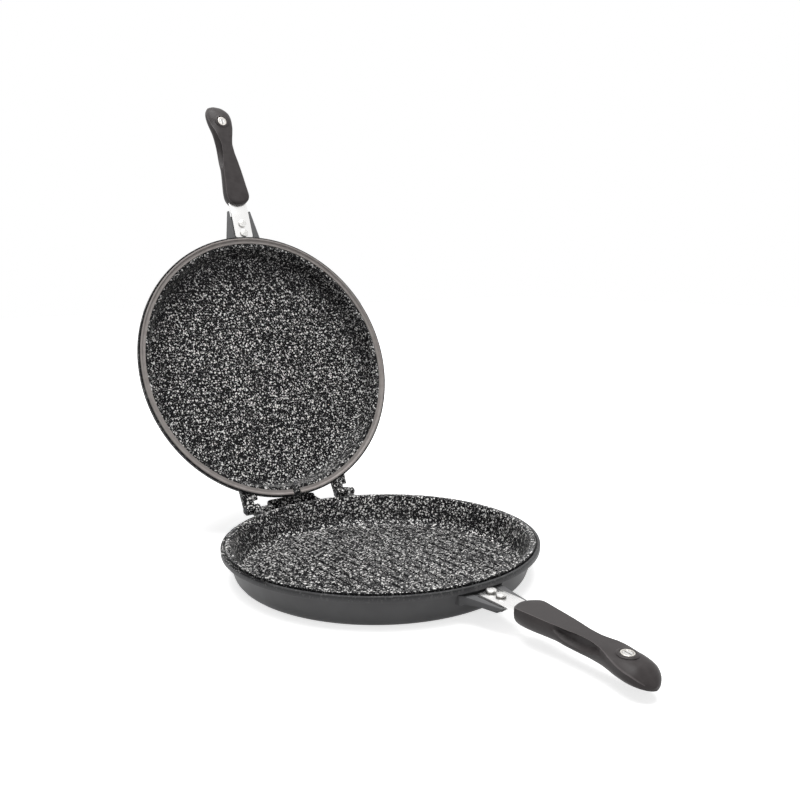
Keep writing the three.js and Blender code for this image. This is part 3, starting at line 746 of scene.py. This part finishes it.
def hinge_lugs():
    """Both lower lugs: web, barrel, nose; the first carries a bridge to the tray and the other a boss."""
    root = -wall_at(hinge_spread / 2 + abs(hinge_shift), -lug_depth)
    web = rounded([
        [-hinge_reach, 0],
        [-hinge_reach, -barrel_radius],
        [root, -lug_depth],
        *straight([root, 0], [-hinge_reach + cast_edge, 0]),
    ])
    made = []
    for start in barrel_starts:
        end = start + barrel_width
        made += [
            cast_block(circle(barrel_radius, -hinge_reach), start, end, cast_edge),
            kept_in_wall(cast_block(web, start, end, cast_edge / 2), groove_depth + groove_width),
            stop_nose(start),
        ]
    left_end, right_end = (start + barrel_width for start in barrel_starts)
    bridge = rounded([
        [-hinge_reach - bridge_back, bridge_rise, cast_edge],
        [-hinge_reach - bridge_back, -bridge_depth, cast_edge],
        [bridge_front - hinge_reach, -bridge_depth],
        [bridge_front - hinge_reach, bridge_rise, cast_edge],
    ])
    bridge_end = tray_shift - tray_width / 2 + tray_wall / 2
    boss = circle(boss_radius, -hinge_reach)
    return [
        *made,
        cast_block(bridge, left_end - 2 * cast_edge, bridge_end, cast_edge / 2),
        cast_block(boss, right_end - 2 * cast_edge, right_end + boss_length, 2 * cast_edge),
    ]


def drip_tray():
    """Cup behind the rim: a plan outline carried up its outside, over its rounded edge and down to its floor."""
    start, end = tray_shift - tray_width / 2, tray_shift + tray_width / 2
    root = -wall_at(max(-start, end), -tray_depth) - cast_edge
    back = -rim_radius - tray_overhang
    edges = [-math.sqrt((rim_radius - cast_edge) ** 2 - y ** 2) for y in (start, end)]
    outline = rounded([
        [edges[0], start],
        [edges[0] + cast_edge, start],
        *straight([root, start], [root, end]),
        [edges[1] + cast_edge, end],
        [edges[1], end],
        [back, end, tray_corner_radius],
        [back, start, tray_corner_radius],
    ])
    floor = tray_floor_thickness - tray_depth
    turn = np.linspace(0, math.pi, 2 * edge_steps)
    lip = np.stack([tray_wall / 2 * (1 - np.cos(turn)), tray_rise - tray_wall / 2 * (1 - np.sin(turn))], 1)
    profile = np.concatenate([
        [[2 * cast_edge, -tray_depth], [cast_edge / 2, cast_edge / 2 - tray_depth], [0, 2 * cast_edge - tray_depth]],
        lip,
        [[tray_wall, floor + 2 * cast_edge], [tray_wall + 2 * cast_edge, floor]],
    ])
    inset, height = profile.T[..., None]
    flat = outline[None] - inset[..., None] * outward(outline)[None]
    beside_rim = flat[..., 0] > -hinge_reach - tray_front_reach
    sunk = np.minimum(height, height - tray_rise * smoothstep(floor, tray_rise, height))
    z = np.where(beside_rim, sunk, height)
    cup = capped(np.concatenate([flat, z[..., None]], -1), marks=1.0)
    return [kept_in_wall(cup, groove_depth + groove_width)]


def hinge_arms():
    """Both upper arms: an eye about the axis, a tapering web up to the wall, and a shoulder over the lower barrel."""
    root = -wall_at(hinge_spread / 2 + abs(hinge_shift), -arm_depth)
    web = rounded([
        [-hinge_reach, -arm_top_drop],
        [-hinge_reach - arm_eye_radius, rim_gap],
        [-hinge_reach - arm_eye_radius / 2, rim_gap - arm_eye_radius],
        [root, -arm_depth],
        *straight([root, -arm_top_drop], [-hinge_reach + cast_edge, -arm_top_drop]),
    ])
    shoulder = rounded([
        [shoulder_clearance - hinge_reach, -arm_top_drop, cast_edge],
        [shoulder_clearance - hinge_reach, arm_top_drop - arm_depth, 2 * cast_edge],
        [root, arm_top_drop - arm_depth],
        *straight([root, -arm_top_drop], [shoulder_clearance - hinge_reach + 2 * cast_edge, -arm_top_drop]),
    ])
    eye = circle(arm_eye_radius, -hinge_reach, rim_gap)
    below_channel = channel_depth + cast_edge
    made = []
    for arm_start in arm_starts:
        start, end = -arm_start - arm_width, -arm_start
        beside = cast_block(shoulder, start - shoulder_width, start + 2 * cast_edge, 2 * cast_edge)
        made += [
            cast_block(eye, start, end, cast_edge),
            kept_in_wall(cast_block(web, start, end, cast_edge / 2), below_channel),
            kept_in_wall(beside, below_channel),
        ]
    return made


# Gasket

def gasket_ring():
    """Silicone ring: a two-ridged closed profile carried round the rim, broken at the drain tab, with flat ends."""
    outer = channel_outer_radius - seat_gap
    inner = channel_inner_radius + seat_gap
    back = seat_gap - channel_depth
    proud = rim_gap - seal_gap
    seat = proud - bead_height
    profile = rounded([
        [inner, back, gasket_round],
        [outer, back, gasket_round],
        [outer, proud, gasket_round],
        [outer - gasket_outer_ridge, proud, gasket_round],
        [outer - gasket_outer_ridge - gasket_slope, seat, gasket_round],
        [inner + gasket_inner_ridge + gasket_slope, seat, gasket_round],
        [inner + gasket_inner_ridge, -gasket_inner_ridge_drop, gasket_round / 2],
        [inner, -gasket_inner_ridge_drop, gasket_round / 2],
    ])
    break_angle = (drain_tab_width / 2 + seat_gap) / (rim_radius - channel_width / 2)
    angles = np.linspace(-math.pi + break_angle, math.pi - break_angle, ring_steps)
    return [capped(turned(profile, angles)[0])]


# Strap and its fasteners

def strap():
    """Steel strap: a rounded flat bar along X, as wide at each x as the strap's plan, tipped down past its bend."""
    start = rim_radius + strap_standoff
    tongue_radius = strap_tongue_width / 2
    neck = [handle_start + strap_shoulder_inset, handle_start + strap_shoulder_inset + strap_shoulder_length]
    x = np.concatenate([
        start + strap_corner * (1 - np.cos(np.linspace(0, math.pi / 2, arc_steps))),
        np.linspace(start + 2 * strap_corner, strap_bend - strap_corner, plate_stations),
        np.linspace(strap_bend - strap_corner / 2, strap_bend + strap_corner, bend_stations),
        neck,
        np.linspace(strap_end - tongue_radius, strap_end, tongue_stations),
    ])
    from_start = np.clip(1 - (x - start) / strap_corner, 0, 1)
    from_end = np.clip(1 - (strap_end - x) / tongue_radius, 0, 1)
    half = np.interp(x, neck, [strap_width / 2, tongue_radius])
    half = half - strap_corner * (1 - np.sqrt(1 - from_start ** 2))
    half = np.maximum(half * np.sqrt(1 - strap_tongue_fullness * from_end ** 2), 2 * strap_edge)
    points, *rest = bar(x, half, strap_top, strap_bottom, strap_edge)
    return [(drooped(points), *rest)]


def rivet(x):
    """Rivet: domed head over the strap, shank, and formed tail under the shelf, turned about its own axis."""
    profile = rounded([
        [0, shelf_bottom - rivet_tail_height],
        [rivet_tail_radius, shelf_bottom - rivet_tail_height, rivet_tail_height / 2],
        [rivet_tail_radius, shelf_bottom],
        [rivet_radius, shelf_bottom],
        [rivet_radius, strap_top],
        [rivet_head_radius - rivet_head_undercut, strap_top],
        [rivet_head_radius, strap_top + rivet_head_foot],
        [rivet_head_radius, strap_top + rivet_head_shoulder, rivet_head_height / 3],
        [0, strap_top + rivet_head_height],
    ])
    height = profile[:, 1] - strap_top
    # Painted shade: marks that darken the head's foot where it meets the strap, fading out up its side
    foot_shade = np.where(height < 0, 0.0, 1 - smoothstep(rivet_foot_shade_height / 2, rivet_foot_shade_height, height))
    points, *rest = turned(profile, small_turn, foot_shade)
    return [(points + np.array([x, 0, 0]), *rest)]


# Half handle

def share_at(shares, place):
    """Value of a table at each place: a cubic through its rows, its slopes limited so that it never overshoots."""
    at, value = np.array(shares, float).T
    slope = np.diff(value) / np.diff(at)
    mean = np.where(slope[1:] * slope[:-1] > 0, 2 * slope[1:] * slope[:-1] / (slope[1:] + slope[:-1] + 1e-12), 0)
    tangent = np.concatenate([[slope[0]], mean, [slope[-1]]])
    tangent[0] = 0 if at[0] > 0 else tangent[0]
    place = np.clip(place, at[0], at[-1])
    k = np.clip(np.searchsorted(at, place, side="right") - 1, 0, len(at) - 2)
    span = at[k + 1] - at[k]
    t = (place - at[k]) / span
    return ((2 * t ** 3 - 3 * t ** 2 + 1) * value[k] + (t ** 3 - 2 * t ** 2 + t) * span * tangent[k]
            + (3 * t ** 2 - 2 * t ** 3) * value[k + 1] + (t ** 3 - t ** 2) * span * tangent[k + 1])


def fullness(distance, length, power):
    """How full a rounded end is at a distance d from its tip: sqrt(1 - (1 - d / length)^power), 1 past its length."""
    left = np.clip(1 - distance / length, 0, 1)
    return np.sqrt(1 - left ** power)


def handle_skin():
    """Half handle: at each place along it, a face with sharp creases, hollowed sides and a rounded belly.

    Each section starts at the face's middle. The face falls to its crease as a power of the share across, the side
    runs straight from crease to ridge and is hollowed by a half sine, and the belly goes with powers of cosine and
    sine. Both ends are drawn together by their fullness."""
    along = np.linspace(0, 1, handle_rows)[:, None]
    around = np.linspace(0, 1, handle_columns, endpoint=False)
    front_start = handle_start - handle_front_reach
    x = front_start + (handle_length + handle_front_reach) * (1 - np.cos(math.pi * along)) / 2
    place = (x - handle_start) / handle_length
    front = fullness(x - front_start, handle_front_round, front_power)
    tail = fullness(handle_start + handle_length - x, handle_tail_round, tail_power)
    brow = handle_front_drop * (1 - fullness(x - front_start, handle_front_slope, front_power))
    face = -handle_face_drop - brow - handle_tail_drop * share_at(tail_drop_shares, place)
    front_edge = handle_front_edge * (1 - fullness(x - front_start, handle_front_edge_length, front_edge_power))
    crease = face - handle_edge_drop * share_at(edge_drop_shares, place) * tail - front_edge
    full_belly = -handle_face_drop - handle_thickness * share_at(thickness_shares, place)
    shallow = np.minimum(crease, full_belly)
    belly = shallow + (full_belly - shallow) * (1 - belly_rise_share * (1 - front * tail))
    half = handle_width / 2 * front * tail
    crease_half = half * share_at(face_width_shares, place)
    ridge_half = half * share_at(ridge_width_shares, place)
    ridge = crease + (belly - crease) * share_at(ridge_depth_shares, place)
    hollow = handle_hollow * share_at(hollow_shares, place)
    turn = 2 * np.minimum(around, 1 - around)
    on_face = turn <= face_share
    on_side = (turn > face_share) & (turn <= face_share + side_share)
    across = np.clip(turn / face_share, 0, 1)
    down = np.clip((turn - face_share) / side_share, 0, 1)
    angle = np.clip((turn - face_share - side_share) / (1 - face_share - side_share), 0, 1) * math.pi / 2
    side_y = crease_half + (ridge_half - crease_half) * down
    over_tongue = np.minimum(side_y, strap_tongue_width / 2 + hollow_wall)
    side_y = np.maximum(side_y - hollow * np.sin(math.pi * down), over_tongue)
    side_z = crease + (ridge - crease) * down
    belly_y = ridge_half * np.maximum(np.cos(angle), 0) ** belly_power
    belly_z = ridge + (belly - ridge) * np.sin(angle) ** belly_power
    y = np.where(on_face, crease_half * across, np.where(on_side, side_y, belly_y))
    y = np.where(around <= 0.5, y, -y)
    z = np.where(on_face, face + (crease - face) * across ** face_power, np.where(on_side, side_z, belly_z))
    # The lighter crease is partly rubbed wear, partly a painted highlight
    rubbed_crease_highlight = (np.abs(turn - face_share) < 1 / handle_columns) & (front * tail > rubbed_crease_highlight_fullness)
    return drooped(np.stack([np.broadcast_to(x, y.shape), y, z], -1)), False, True, rubbed_crease_highlight


def collar():
    """Ring that stands on the handle's face round the magnet: sloped outside, rounded top, straight well."""
    well = magnet_radius + magnet_seat_gap
    return at_magnet(turned(rounded([
        [well, strap_top],
        [well + collar_foot_width, strap_top],
        [well + collar_foot_width, -handle_face_drop],
        [well + collar_top_width, collar_height - handle_face_drop, magnet_edge],
        [well, collar_height - handle_face_drop, magnet_edge / 2],
        [well, strap_top],
    ]), small_turn))


def magnet():
    """Ring magnet with a rounded edge and a countersunk hole."""
    bottom = strap_top + seat_gap
    return [at_magnet(turned(rounded([
        [magnet_hole_radius, bottom],
        [magnet_radius, bottom],
        [magnet_radius, magnet_top, magnet_edge],
        [screw_head_radius + seat_gap, magnet_top, magnet_edge / 4],
        [screw_head_radius + seat_gap, screw_top],
        [magnet_hole_radius, screw_top - (screw_head_radius - screw_radius)],
        [magnet_hole_radius, bottom],
    ]), small_turn))]


def magnet_screw():
    """Countersunk screw head: a disc of rows along its slot, whose rim is carried down the cone to the shank."""
    half = screw_slot_width / 2
    slot_edge = half * (1 + screw_slot_flare) / 2
    turns = np.sin(np.linspace(-math.pi / 2, math.pi / 2, screw_steps))
    slot_rows = half * np.outer([-1, 1], [1, screw_slot_flare]).ravel()
    rows = np.unique(np.concatenate([screw_head_radius * turns, slot_rows]))

    def height(x, y):
        return screw_top - screw_slot_depth * (np.abs(y) < slot_edge)

    disc = striped_disc(screw_head_radius, rows, screw_steps, height)
    cone = turned(np.array([
        [0, strap_bottom],
        [screw_radius, strap_bottom],
        [screw_radius, screw_top - (screw_head_radius - screw_radius)],
        [screw_head_radius, screw_top],
    ]), rim_angles(screw_head_radius, rows))
    y, z = np.abs(cone[0][..., 1]), cone[0][..., 2]
    cone[0][..., 2] = np.where((y < slot_edge) & (z >= screw_top), screw_top - screw_slot_depth, z)
    return [at_magnet(disc), at_magnet(cone)]


def hinge_pin(arm_start, barrel_start, reach_past_barrel):
    """Pin along Y: low domed head against the arm's outer face, plain shank, rounded tail."""
    end = barrel_start + barrel_width + reach_past_barrel + pin_tail
    points, *rest = turned(rounded([
        [0, arm_start - pin_head_thickness],
        [pin_head_radius, arm_start - pin_head_thickness, pin_head_round],
        [pin_head_radius, arm_start],
        [pin_radius, arm_start],
        [pin_radius, end, pin_tail / 2],
        [0, end],
    ]), small_turn)
    return [(np.stack([points[..., 0] - hinge_reach, -points[..., 2], rim_gap + points[..., 1]], -1), *rest)]


# Materials

def linear(code):
    """sRGB hex value as linear red, green, blue and 1."""
    value = np.array([int(code[i:i + 2], 16) for i in (1, 3, 5)]) / 255
    return (*np.where(value <= 0.04045, value / 12.92, ((value + 0.055) / 1.055) ** 2.4), 1.0)


# Settings that several nodes share
eased = {"interpolation_type": "SMOOTHSTEP"}
of_colours = {"data_type": "RGBA"}
marks_of_piece = {"attribute_name": "marks"}
larger = {"operation": "MAXIMUM"}
times = {"operation": "MULTIPLY"}


def feed(made, **inputs):
    """Sets a node's inputs, by name or as i and a number: each to a value or to another node's output."""
    for key, value in inputs.items():
        socket = made.inputs[int(key[1:])] if key[1:].isdigit() else made.inputs[key.replace("_", " ")]
        if isinstance(value, bpy.types.NodeSocket):
            made.id_data.links.new(value, socket)
        else:
            socket.default_value = value


def node(tree, kind, settings=None, **inputs):
    """Adds a node of a kind with its settings and links, and returns its outputs."""
    made = tree.nodes.new("ShaderNode" + kind)
    for key, value in (settings or {}).items():
        setattr(made, key, value)
    feed(made, **inputs)
    return made.outputs


def new_material(name, colour, roughness, metallic=0.0, **settings):
    """A principled material with its plain settings; returns it with its node tree and its shader."""
    material = bpy.data.materials.new(name)
    material.use_nodes = True
    shader = material.node_tree.nodes["Principled BSDF"]
    feed(shader, Base_Color=linear(colour), Roughness=roughness, Metallic=metallic, **settings)
    return material, material.node_tree, shader


def speck_layer(tree, place, cell, share, largest, strength):
    """Random dots, one to a cell: the cell's own random number says whether it has one and how large it is."""
    cells = node(tree, "TexVoronoi", Vector=place, Scale=1 / (cell * MM))
    lot = node(tree, "SeparateColor", Color=cells["Color"])
    radius = node(tree, "MapRange", Value=lot[0], From_Min=1 - share, To_Max=largest)[0]
    inside = node(tree, "Math", {"operation": "SUBTRACT"}, i0=radius, i1=cells["Distance"])[0]
    dot = node(tree, "MapRange", eased, Value=inside, From_Max=speck_blur)[0]
    brightness = node(tree, "MapRange", Value=lot[1], To_Min=dimmest_speck * strength, To_Max=strength)[0]
    return node(tree, "Math", times, i0=dot, i1=brightness)[0]


def stone_effect_coating():
    """Die-cast aluminium with a sprayed non-stick coating: a black coat under spattered pale specks on the cooking
    side and hinges, and a plain dark grey satin coat outside, with the fine orange peel that spraying leaves."""
    material, tree, shader = new_material("sprayed_stone_effect_coating", "#6e6e70", 0.42, IOR=1.48,
                                          Specular_IOR_Level=0.1)
    place = node(tree, "TexCoord")["Object"]
    marks = node(tree, "Attribute", marks_of_piece)["Fac"]
    waver = node(tree, "TexNoise", Vector=place, Scale=1 / (speck_waver_size * MM), Detail=1.0)["Color"]
    shift = node(tree, "VectorMath", {"operation": "SCALE"}, i0=waver, Scale=speck_waver * MM)[0]
    uneven = node(tree, "VectorMath", {"operation": "ADD"}, i0=place, i1=shift)[0]
    specks = 0.0
    for layer in speck_layers:
        specks = node(tree, "Math", larger, i0=specks, i1=speck_layer(tree, uneven, *layer))[0]
    specks = node(tree, "Math", times, i0=specks, i1=marks)[0]
    cloud = node(tree, "TexNoise", Vector=place, Scale=1 / (coat_cloud_size * MM), Detail=3.0)["Fac"]
    coats = []
    for dark, pale, low, high in (("#6a6a6b", "#727273", 0.3, 0.7), ("#0b0b0d", "#121214", 0.35, 0.65)):
        share = node(tree, "MapRange", eased, Value=cloud, From_Min=low, From_Max=high)[0]
        coats.append(node(tree, "Mix", of_colours, i0=share, i6=linear(dark), i7=linear(pale))[2])
    is_black = node(tree, "MapRange", eased, Value=marks, From_Max=black_from)[0]
    coat = node(tree, "Mix", of_colours, i0=is_black, i6=coats[0], i7=coats[1])[2]
    colour = node(tree, "Mix", of_colours, i0=specks, i6=coat, i7=linear("#fdfcfa"))[2]
    roughness = node(tree, "MapRange", eased, Value=marks, To_Min=grey_coat_roughness,
                     To_Max=black_coat_roughness)[0]
    peel = node(tree, "TexNoise", Vector=place, Scale=1 / (orange_peel_size * MM), Detail=2.0)["Fac"]
    height = node(tree, "Math", {"operation": "MULTIPLY_ADD"}, i0=specks, i1=speck_relief, i2=peel)[0]
    bump = node(tree, "Bump", Strength=0.25, Distance=0.05 * MM, Height=height)[0]
    feed(shader, Base_Color=colour, Roughness=roughness, Normal=bump)
    return material


def grained_finish(name, colour, roughness, metallic, size, detail=2.0, colours=None, marked=None, roughnesses=None,
                   relief=None, stretch=(1.0, 1.0, 1.0), **settings):
    """Material that follows a noise of a size in millimetres, drawn out by stretch.

    Colours and roughnesses are (first, second, low, high): first where the noise is below low, second above high.
    Marked is the colour of marked places. Relief is the bump's (strength, depth and grain in millimetres)."""
    material, tree, shader = new_material(name, colour, roughness, metallic, **settings)
    place = node(tree, "Mapping", Vector=node(tree, "TexCoord")["Object"], Scale=stretch)[0]
    noise = node(tree, "TexNoise", Vector=place, Scale=1 / (size * MM), Detail=detail)["Fac"]
    if colours:
        first, second, low, high = colours
        share = node(tree, "MapRange", eased, Value=noise, From_Min=low, From_Max=high)[0]
        shade = node(tree, "Mix", of_colours, i0=share, i6=linear(first), i7=linear(second))[2]
        if marked:
            marks = node(tree, "Attribute", marks_of_piece)["Fac"]
            shade = node(tree, "Mix", of_colours, i0=marks, i6=shade, i7=linear(marked))[2]
        feed(shader, Base_Color=shade)
    if roughnesses:
        first, second, low, high = roughnesses
        feed(shader, Roughness=node(tree, "MapRange", eased, Value=noise, From_Min=low, From_Max=high,
                                    To_Min=first, To_Max=second)[0])
    if relief:
        strength, depth, grain_size = relief
        grain = node(tree, "TexNoise", Vector=place, Scale=1 / (grain_size * MM), Detail=2.0)["Fac"]
        feed(shader, Normal=node(tree, "Bump", Strength=strength, Distance=depth * MM, Height=grain)[0])
    return material


def finishes():
    """Every finish, by the name that build_pan and build_half call it."""
    return {
        "coating": stone_effect_coating(),
        # Phenolic moulded in a spark-eroded cavity: an even warm dark grey with a fine matt grain and a faint mottle,
        # lighter along the sharp creases where hands rub, which is partly wear and partly a painted highlight. Its
        # real grain is about 0.2 mm, drawn 0.6 mm to show.
        "phenolic": grained_finish(
            "moulded_phenolic", "#3c3838", 0.45, 0.0, 6.0, 3.0, ("#383434", "#403c3c", 0.3, 0.7), "#615c5c",
            (0.4, 0.48, 0.3, 0.7), (0.3, 0.05, 0.6), IOR=1.5, Specular_IOR_Level=0.2),
        # Stainless strip, rolled and polished: fine lines along the strap that only show in the highlight. They are
        # drawn 0.35 mm apart, because the real ones are too fine to show.
        "strip": grained_finish(
            "polished_stainless_steel", "#f0efee", 0.24, 1.0, 0.35, roughnesses=(0.2, 0.32, 0.25, 0.75),
            relief=(0.12, 0.02, 0.35), stretch=(0.03, 1.0, 1.0)),
        # Cold-headed rivets and screws, tumbled smooth: bright, unevenly polished, with painted shade in the corner
        # at their foot
        "tumbled": grained_finish(
            "tumbled_steel", "#dfdedc", 0.3, 1.0, 1.4, 2.0, ("#d6d5d3", "#e8e7e5", 0.3, 0.7), "#4c4a48",
            (0.24, 0.38, 0.3, 0.7), (0.2, 0.04, 1.4)),
        # Barrel-plated nickel on a sintered magnet: bright, slightly warm, with a faint pebble, drawn 0.7 mm wide
        # where the real one is about a third of that
        "nickel": grained_finish(
            "nickel_plated_magnet", "#dcd8d2", 0.22, 1.0, 0.7, roughnesses=(0.18, 0.34, 0.3, 0.7),
            relief=(0.25, 0.03, 0.7)),
        # Free-cutting brass, turned and knurled: yellow with darker hollows from handling
        "brass": grained_finish(
            "turned_brass", "#b89655", 0.34, 1.0, 1.5, 2.0, ("#a5823f", "#c3a464", 0.35, 0.7)),
        # Hinge pins blackened in a hot bath: near black with a dull blue-grey gloss and paler worn patches
        "blackened": grained_finish(
            "blackened_steel", "#3a3a3d", 0.42, 1.0, 1.8, 3.0, ("#323235", "#6a6a6c", 0.5, 0.72),
            roughnesses=(0.48, 0.34, 0.3, 0.7)),
        # Compression-moulded silicone rubber: a matt warm grey that light enters a little, with a dusty mottle
        "silicone": grained_finish(
            "moulded_silicone", "#9a9491", 0.5, 0.0, 9.0, 4.0, ("#938d8a", "#a19b98", 0.3, 0.7), IOR=1.43,
            Specular_IOR_Level=0.3, Subsurface_Weight=0.08, Subsurface_Scale=1.0,
            Subsurface_Radius=(0.6 * MM, 0.5 * MM, 0.45 * MM)),
    }


# Pieces

def build_half(half, place, finish):
    """Strap, rivets, handle, magnet and screw of one half, and the brass of its hidden insert."""
    first = rim_radius + rivet_offset
    for name, cad_name, surfaces, look, slot in (
        ("steel_strap", "tang", strap(), "strip", "steel"),
        ("inner_rivet", "rivet_inner", rivet(first), "tumbled", "steel"),
        ("outer_rivet", "rivet_outer", rivet(first + rivet_pitch), "tumbled", "steel"),
        ("half_handle", "handle", [handle_skin(), collar()], "phenolic", "bakelite"),
        ("ring_magnet", "magnet", magnet(), "nickel", "nickel"),
        ("slotted_screw", "magnet_screw", magnet_screw(), "tumbled", "steel"),
    ):
        make_piece(f"{half}_{name}", surfaces, place, finish[look], half, f"{half}_{cad_name}", slot)
    insert = frame["nodes"][f"{half}_insert"]
    insert.data.materials.clear()
    insert.data.materials.append(finish["brass"])


def build_pan():
    """Every piece of the object, each on its body."""
    finish = finishes()
    lower = [*lower_shell(), *bracket(), *hinge_lugs(), *drip_tray()]
    upper = [*upper_shell(), *bracket(), *hinge_arms()]
    make_piece("lower_casting", lower, lower_place, finish["coating"], "lower", "lower_pan", "coated_casting")
    make_piece("upper_casting", upper, upper_place, finish["coating"], "upper", "upper_pan", "coated_casting")
    make_piece("rim_gasket", gasket_ring(), upper_place, finish["silicone"], "upper", "gasket", "silicone")
    build_half("lower", lower_place, finish)
    build_half("upper", upper_place, finish)
    for name, arm_start, barrel_start, reach in zip(("left", "right"), arm_starts, barrel_starts, (0.0, boss_length)):
        pin = hinge_pin(arm_start, barrel_start, reach)
        make_piece(f"{name}_hinge_pin", pin, upper_place, finish["blackened"], "upper", f"hinge_pin_{name}", "steel")


# Stage

def white_to_the_eye(tree, seen, lit):
    """Joins two shaders: the first for camera, mirror and glass rays, the second for light that reaches the part."""
    rays = node(tree, "LightPath")
    eye = rays["Is Camera Ray"]
    for ray in ("Is Glossy Ray", "Is Transmission Ray"):
        eye = node(tree, "Math", larger, i0=eye, i1=rays[ray])[0]
    return node(tree, "MixShader", i0=eye, i1=lit, i2=seen)[0]


def studio():
    """White surroundings, a large soft lamp overhead and a weak one behind the camera."""
    world = bpy.data.worlds.new("white_studio")
    bpy.context.scene.world = world
    world.use_nodes = True
    tree = world.node_tree
    lit, seen = (node(tree, "Background", Color=linear("#ffffff"), Strength=strength)[0]
                 for strength in (world_strength, 1.0))
    feed(tree.nodes["World Output"], Surface=white_to_the_eye(tree, seen, lit))
    for name, watts, size, place, target in lamps:
        light = bpy.data.lights.new(name, "AREA")
        light.energy, light.size = watts, size
        lamp = add_object(name, light)
        lamp.location = place
        lamp.rotation_euler = (Vector(target) - Vector(place)).to_track_quat("-Z", "Y").to_euler()


def studio_floor():
    """Matt white floor that stays white to the camera and keeps the soft shadow under the pan."""
    half = floor_width / 2
    corners = ((-half, -half), (half, -half), (half, half), (-half, half))
    mesh = bpy.data.meshes.new("studio_floor")
    mesh.from_pydata([(x, y, -floor_gap) for x, y in corners], [], [(0, 1, 2, 3)])
    material, tree, shader = new_material("matt_white_floor", "#f2f2f2", 0.9)
    away = node(tree, "VectorMath", {"operation": "LENGTH"}, i0=node(tree, "TexCoord")["Object"])["Value"]
    strength = node(tree, "MapRange", eased, Value=away, From_Min=floor_near, From_Max=floor_far,
                    To_Min=floor_glow, To_Max=far_floor_glow)[0]
    glow = node(tree, "Emission", Color=linear("#ffffff"), Strength=strength)[0]
    both = node(tree, "AddShader", i0=shader.outputs[0], i1=glow)[0]
    dull = node(tree, "BsdfDiffuse", Color=linear("#b4b4b4"))[0]
    feed(tree.nodes["Material Output"], Surface=white_to_the_eye(tree, both, dull))
    mesh.materials.append(material)
    add_object("studio_floor", mesh)


def camera():
    """Camera at the photograph's viewing angle: a place in millimetres, and a heading, pitch and roll in degrees."""
    heading, pitch, roll = (math.radians(v) for v in (camera_heading, camera_pitch, camera_roll))
    ahead = np.array([math.sin(heading) * math.cos(pitch), math.cos(heading) * math.cos(pitch), -math.sin(pitch)])
    level = np.cross(ahead, [0, 0, 1])
    level = level / np.linalg.norm(level)
    up = np.cross(level, ahead)
    right = level * math.cos(roll) + up * math.sin(roll)
    up = up * math.cos(roll) - level * math.sin(roll)
    lens = bpy.data.cameras.new("photograph")
    lens.sensor_width = sensor_width
    lens.lens = sensor_width * focal_length_pixels / picture_width
    viewer = add_object("photograph", lens)
    turn = Matrix([[right[i], up[i], -ahead[i]] for i in range(3)]).to_4x4()
    viewer.matrix_world = Matrix.Translation(Vector(camera_place) * MM) @ turn
    bpy.context.scene.camera = viewer


bpy.context.scene.view_settings.view_transform = "Standard"
build_pan()
studio_floor()
studio()
camera()
